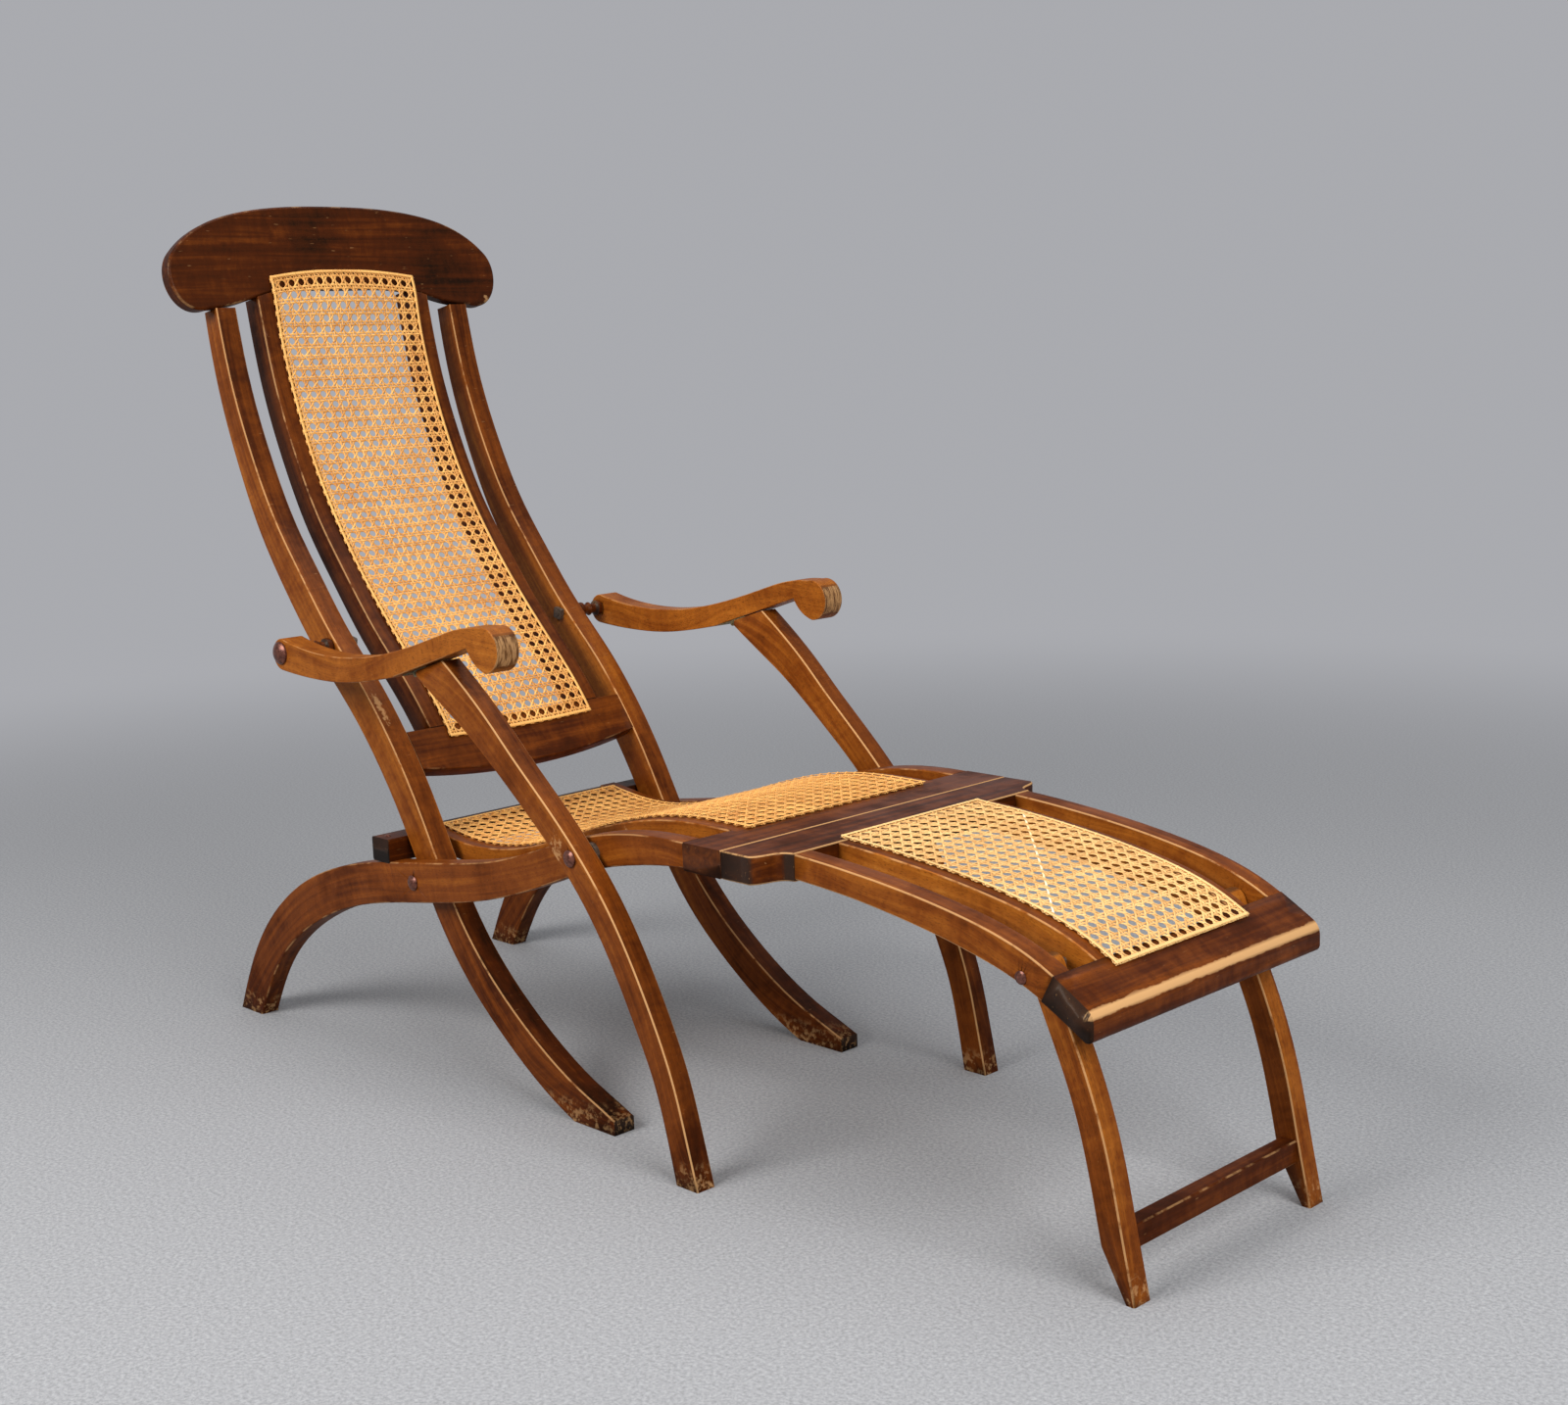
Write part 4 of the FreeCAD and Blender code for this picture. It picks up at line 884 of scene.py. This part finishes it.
# %% [markdown]
# Cane is the smooth outside of a climbing palm: pale gold, a little glossy, with fine fibres along
# it and darker where it has aged. The seat and back have yellowed and the leg rest is bleached by
# the sun, so two materials share one group and differ in their colours. A strand's tone, slow
# patches and fine fibres add up to the place on the way from dark to pale.

# %% Cane skin group
PATCH_WAVES, FIBRE_WAVES = 14.0, 900.0
TONE_SHARE, PATCH_SHARE, FIBRE_SHARE = 0.42, 0.6, 0.28
LIGHT_AT = 0.8                            # where the way from dark to pale passes the light colour


def make_cane_group():
    group, given, ends = new_group(
        "cane skin",
        [("Position", "Vector"), ("Tone", "Float"), ("Dark", "Color"), ("Light", "Color"),
         ("Pale", "Color")],
        [("Colour", "Color"), ("Roughness", "Float"), ("Height", "Float")])
    patches = noise(group, given["Position"], PATCH_WAVES, 4.0, 0.6)
    fibres = noise(group, given["Position"], FIBRE_WAVES)
    factor = plus(group, times(group, given["Tone"], TONE_SHARE),
                  times(group, minus(group, patches, 0.5), PATCH_SHARE))
    factor = plus(group, factor, times(group, fibres, FIBRE_SHARE), clamp=True)
    colour = mix(group, spread(group, factor, 0.0, LIGHT_AT), given["Dark"], given["Light"])
    colour = mix(group, spread(group, factor, LIGHT_AT, 1.0), colour, given["Pale"])
    fill(group, ends, {"Colour": colour, "Height": fibres,
                       "Roughness": spread(group, fibres, 0.0, 1.0, 0.34, 0.6)})
    return group


cane_group = make_cane_group()
print("the cane group has", len(cane_group.nodes), "nodes")


# %% [markdown]
# Both materials have the same thin gloss, because cane keeps its own hard skin and isn't varnished.
# The colours are those of the photograph's sunlit strands and of the shadows between them.

# %% Cane materials
def make_cane_material(name, dark, light, pale):
    material, tree, shader = new_material(name, Coat_Weight=0.08, Coat_Roughness=0.28,
                                          Specular_IOR_Level=0.35)
    skin = use_group(tree, cane_group, {"Position": object_place(tree),
                                        "Tone": read_attribute(tree, "tone"),
                                        "Dark": (*dark, 1.0), "Light": (*light, 1.0),
                                        "Pale": (*pale, 1.0)})
    fill(tree, shader, {"Base Color": skin["Colour"], "Roughness": skin["Roughness"],
                        "Normal": bump(tree, skin["Height"], 0.3, 0.0002)})
    return material


cane = make_cane_material("woven cane", (0.50, 0.18, 0.028), (1.0, 0.57, 0.165),
                          (1.0, 0.82, 0.54))
sunned_cane = make_cane_material("sunned cane", (0.60, 0.29, 0.08), (1.0, 0.68, 0.28),
                                 (1.0, 0.88, 0.68))


# %% [markdown]
# Each panel becomes three pieces: its pairs, its diagonals and its binder. One piece for all would
# be heavy, and one for each strand would be hundreds. The pairs take the place of the solid panel,
# and all three ride with its body, so the cane folds with the chair.

# %% Cane panels
def join_cane(name, meshes, material, node, replace):
    """Join strands into one piece that rides with the panel's body."""
    bm = bmesh.new()
    for mesh in meshes:
        bm.from_mesh(mesh)
        bpy.data.meshes.remove(mesh)
    joined = to_mesh(name, bm)
    joined.materials.append(material)
    piece = new_object(name, joined)
    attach(piece, body_of_node[node])
    if replace:
        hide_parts(node)
    print(name, len(joined.polygons), "faces")


panels = [("seat_cane", cane, 1, None, {}),
          ("back_cane", cane, 2, None, {"along_z": True, "arch_height": 0.011,
                                        "foot_bow": 0.003}),
          ("leg_rest_cane", sunned_cane, 3, MENDED, {})]
for name, material, seed, mended, shape in panels:
    node = name + "_panel"
    web = measure_web(node, **shape)
    join_cane(name + "_pairs", weave_pairs(web, seed), material, node, True)
    join_cane(name + "_diagonals", weave_diagonals(web, seed, mended), material, node, False)
    join_cane(name + "_binder", bind_panel(web), material, node, False)


# %% [markdown]
# The chair stands on grey felt that runs on behind it as a backdrop. A curved sweep would hide the
# horizon from one side only, so the floor is flat. For camera, glossy and transmission rays alone
# it fades with distance into the same grey that those rays see in the world, and it keeps the
# chair's shadow.

# %% Floor
BACKDROP = (0.40, 0.405, 0.43)
FLOOR_GREY = (0.325, 0.33, 0.345)
FELT_SHADES, FELT_SCALE = (0.7, 1.3), 230.0
FADE_NEAR, FADE_FAR = 1.1, 4.2
FLOOR_HALF = 12.0


def seen_directly(tree):
    """1 for rays from the camera and rays that a glossy or clear surface sends on."""
    rays = add_node(tree, "LightPath").outputs
    seen = maths(tree, "MAXIMUM", rays["Is Camera Ray"], rays["Is Glossy Ray"])
    return maths(tree, "MAXIMUM", seen, rays["Is Transmission Ray"])


def blend_surface(tree, share, first, second, end):
    blend = add_node(tree, "MixShader", {0: share, 1: first.outputs[0], 2: second.outputs[0]})
    fill(tree, tree.nodes[end], {"Surface": blend.outputs[0]})


def make_floor_material():
    material, tree, shader = new_material("grey floor", Roughness=0.9, Specular_IOR_Level=0.1)
    place = object_place(tree)
    wool = noise(tree, place, FELT_SCALE, 4.0, 0.75)
    dark, light = (tuple(part * shade for part in FLOOR_GREY) for shade in FELT_SHADES)
    fill(tree, shader, {"Base Color": ramp(tree, wool, [(0.3, dark), (0.7, light)])})
    distance = add_node(tree, "VectorMath", {0: place}, operation="LENGTH").outputs["Value"]
    fade = add_node(tree, "MapRange", {"Value": distance, "From Min": FADE_NEAR,
                                       "From Max": FADE_FAR},
                    interpolation_type="SMOOTHSTEP").outputs[0]
    glow = add_node(tree, "Emission", {"Color": (*BACKDROP, 1.0)})
    blend_surface(tree, times(tree, fade, seen_directly(tree)), shader, glow, "Material Output")
    return material


def make_floor():
    bm = bmesh.new()
    bmesh.ops.create_grid(bm, x_segments=1, y_segments=1, size=FLOOR_HALF)
    mesh = to_mesh("floor", bm)
    mesh.materials.append(make_floor_material())
    floor = new_object("floor", mesh)
    return floor


floor = make_floor()
print(floor.name, "of", 2 * FLOOR_HALF, "m")


# %% [markdown]
# The photograph has soft light without hard shadows. One lamp overhead would leave the boards'
# sides black, so a large soft box stands on the camera's left and another on its right, with a
# faint one overhead and a dim pale world. Their shares were set so that each board's sides and
# edges differ as much as they do in the photograph.

# %% Light
SKY, SKY_STRENGTH = (0.80, 0.82, 0.85, 1.0), 0.30
# name, place, target, size in metres, power in watts, colour
lamps = [("key", (-0.3, -3.2, 2.5), (0.0, 0.0, 0.5), (2.0, 1.6), 135.0, (1.0, 0.98, 0.95)),
         ("fill", (3.2, -0.6, 2.2), (0.0, 0.0, 0.4), (2.0, 2.0), 104.0, (1.0, 0.99, 0.97)),
         ("top", (-0.2, 0.4, 3.4), (0.0, 0.0, 0.4), (2.5, 2.5), 42.0, (1.0, 1.0, 1.0))]


def add_lamp(name, place, target, size, power, colour):
    """A soft box at a place, turned to its target."""
    data = bpy.data.lights.new(name, "AREA")
    data.shape = "RECTANGLE"
    data.size, data.size_y = size
    data.energy = power
    data.color = colour
    aim = (Vector(target) - Vector(place)).to_track_quat("-Z", "Y").to_matrix().to_4x4()
    new_object(name, data).matrix_world = Matrix.Translation(place) @ aim
    print("lamp", name, "at", place)


def make_world():
    world = bpy.data.worlds.new("pale studio")
    world.use_nodes = True
    tree = world.node_tree
    light = tree.nodes["Background"]
    fill(tree, light, {"Color": SKY, "Strength": SKY_STRENGTH})
    seen = add_node(tree, "Background", {"Color": (*BACKDROP, 1.0)})
    blend_surface(tree, seen_directly(tree), light, seen, "World Output")
    return world


for lamp in lamps:
    add_lamp(*lamp)
bpy.context.scene.world = make_world()
bpy.context.scene.view_settings.view_transform = "Standard"

# %% [markdown]
# The camera stands where the photograph was taken from. It could be placed by eye, but its lens,
# place and directions were worked out from the chair's own parallel lines in the photograph, so a
# render lies over the photograph edge for edge.

# %% Camera
LENS, SENSOR = 48.26, 36.0
CAMERA_PLACE = (1.9244, -1.7294, 0.9363)
CAMERA_RIGHT, CAMERA_BACK = (0.7013, 0.7121, -0.0332), (0.7061, -0.6875, 0.1699)

camera_data = bpy.data.cameras.new("camera")
camera_data.lens = LENS
camera_data.sensor_width = SENSOR
camera_data.sensor_fit = "HORIZONTAL"
camera = new_object("camera", camera_data)
back = Vector(CAMERA_BACK).normalized()
up = back.cross(Vector(CAMERA_RIGHT).normalized()).normalized()
right = up.cross(back).normalized()
turned = Matrix((right, up, back)).transposed().to_4x4()
camera.matrix_world = Matrix.Translation(CAMERA_PLACE) @ turned
bpy.context.scene.camera = camera
print("camera at", CAMERA_PLACE, "with a lens of", LENS, "mm")
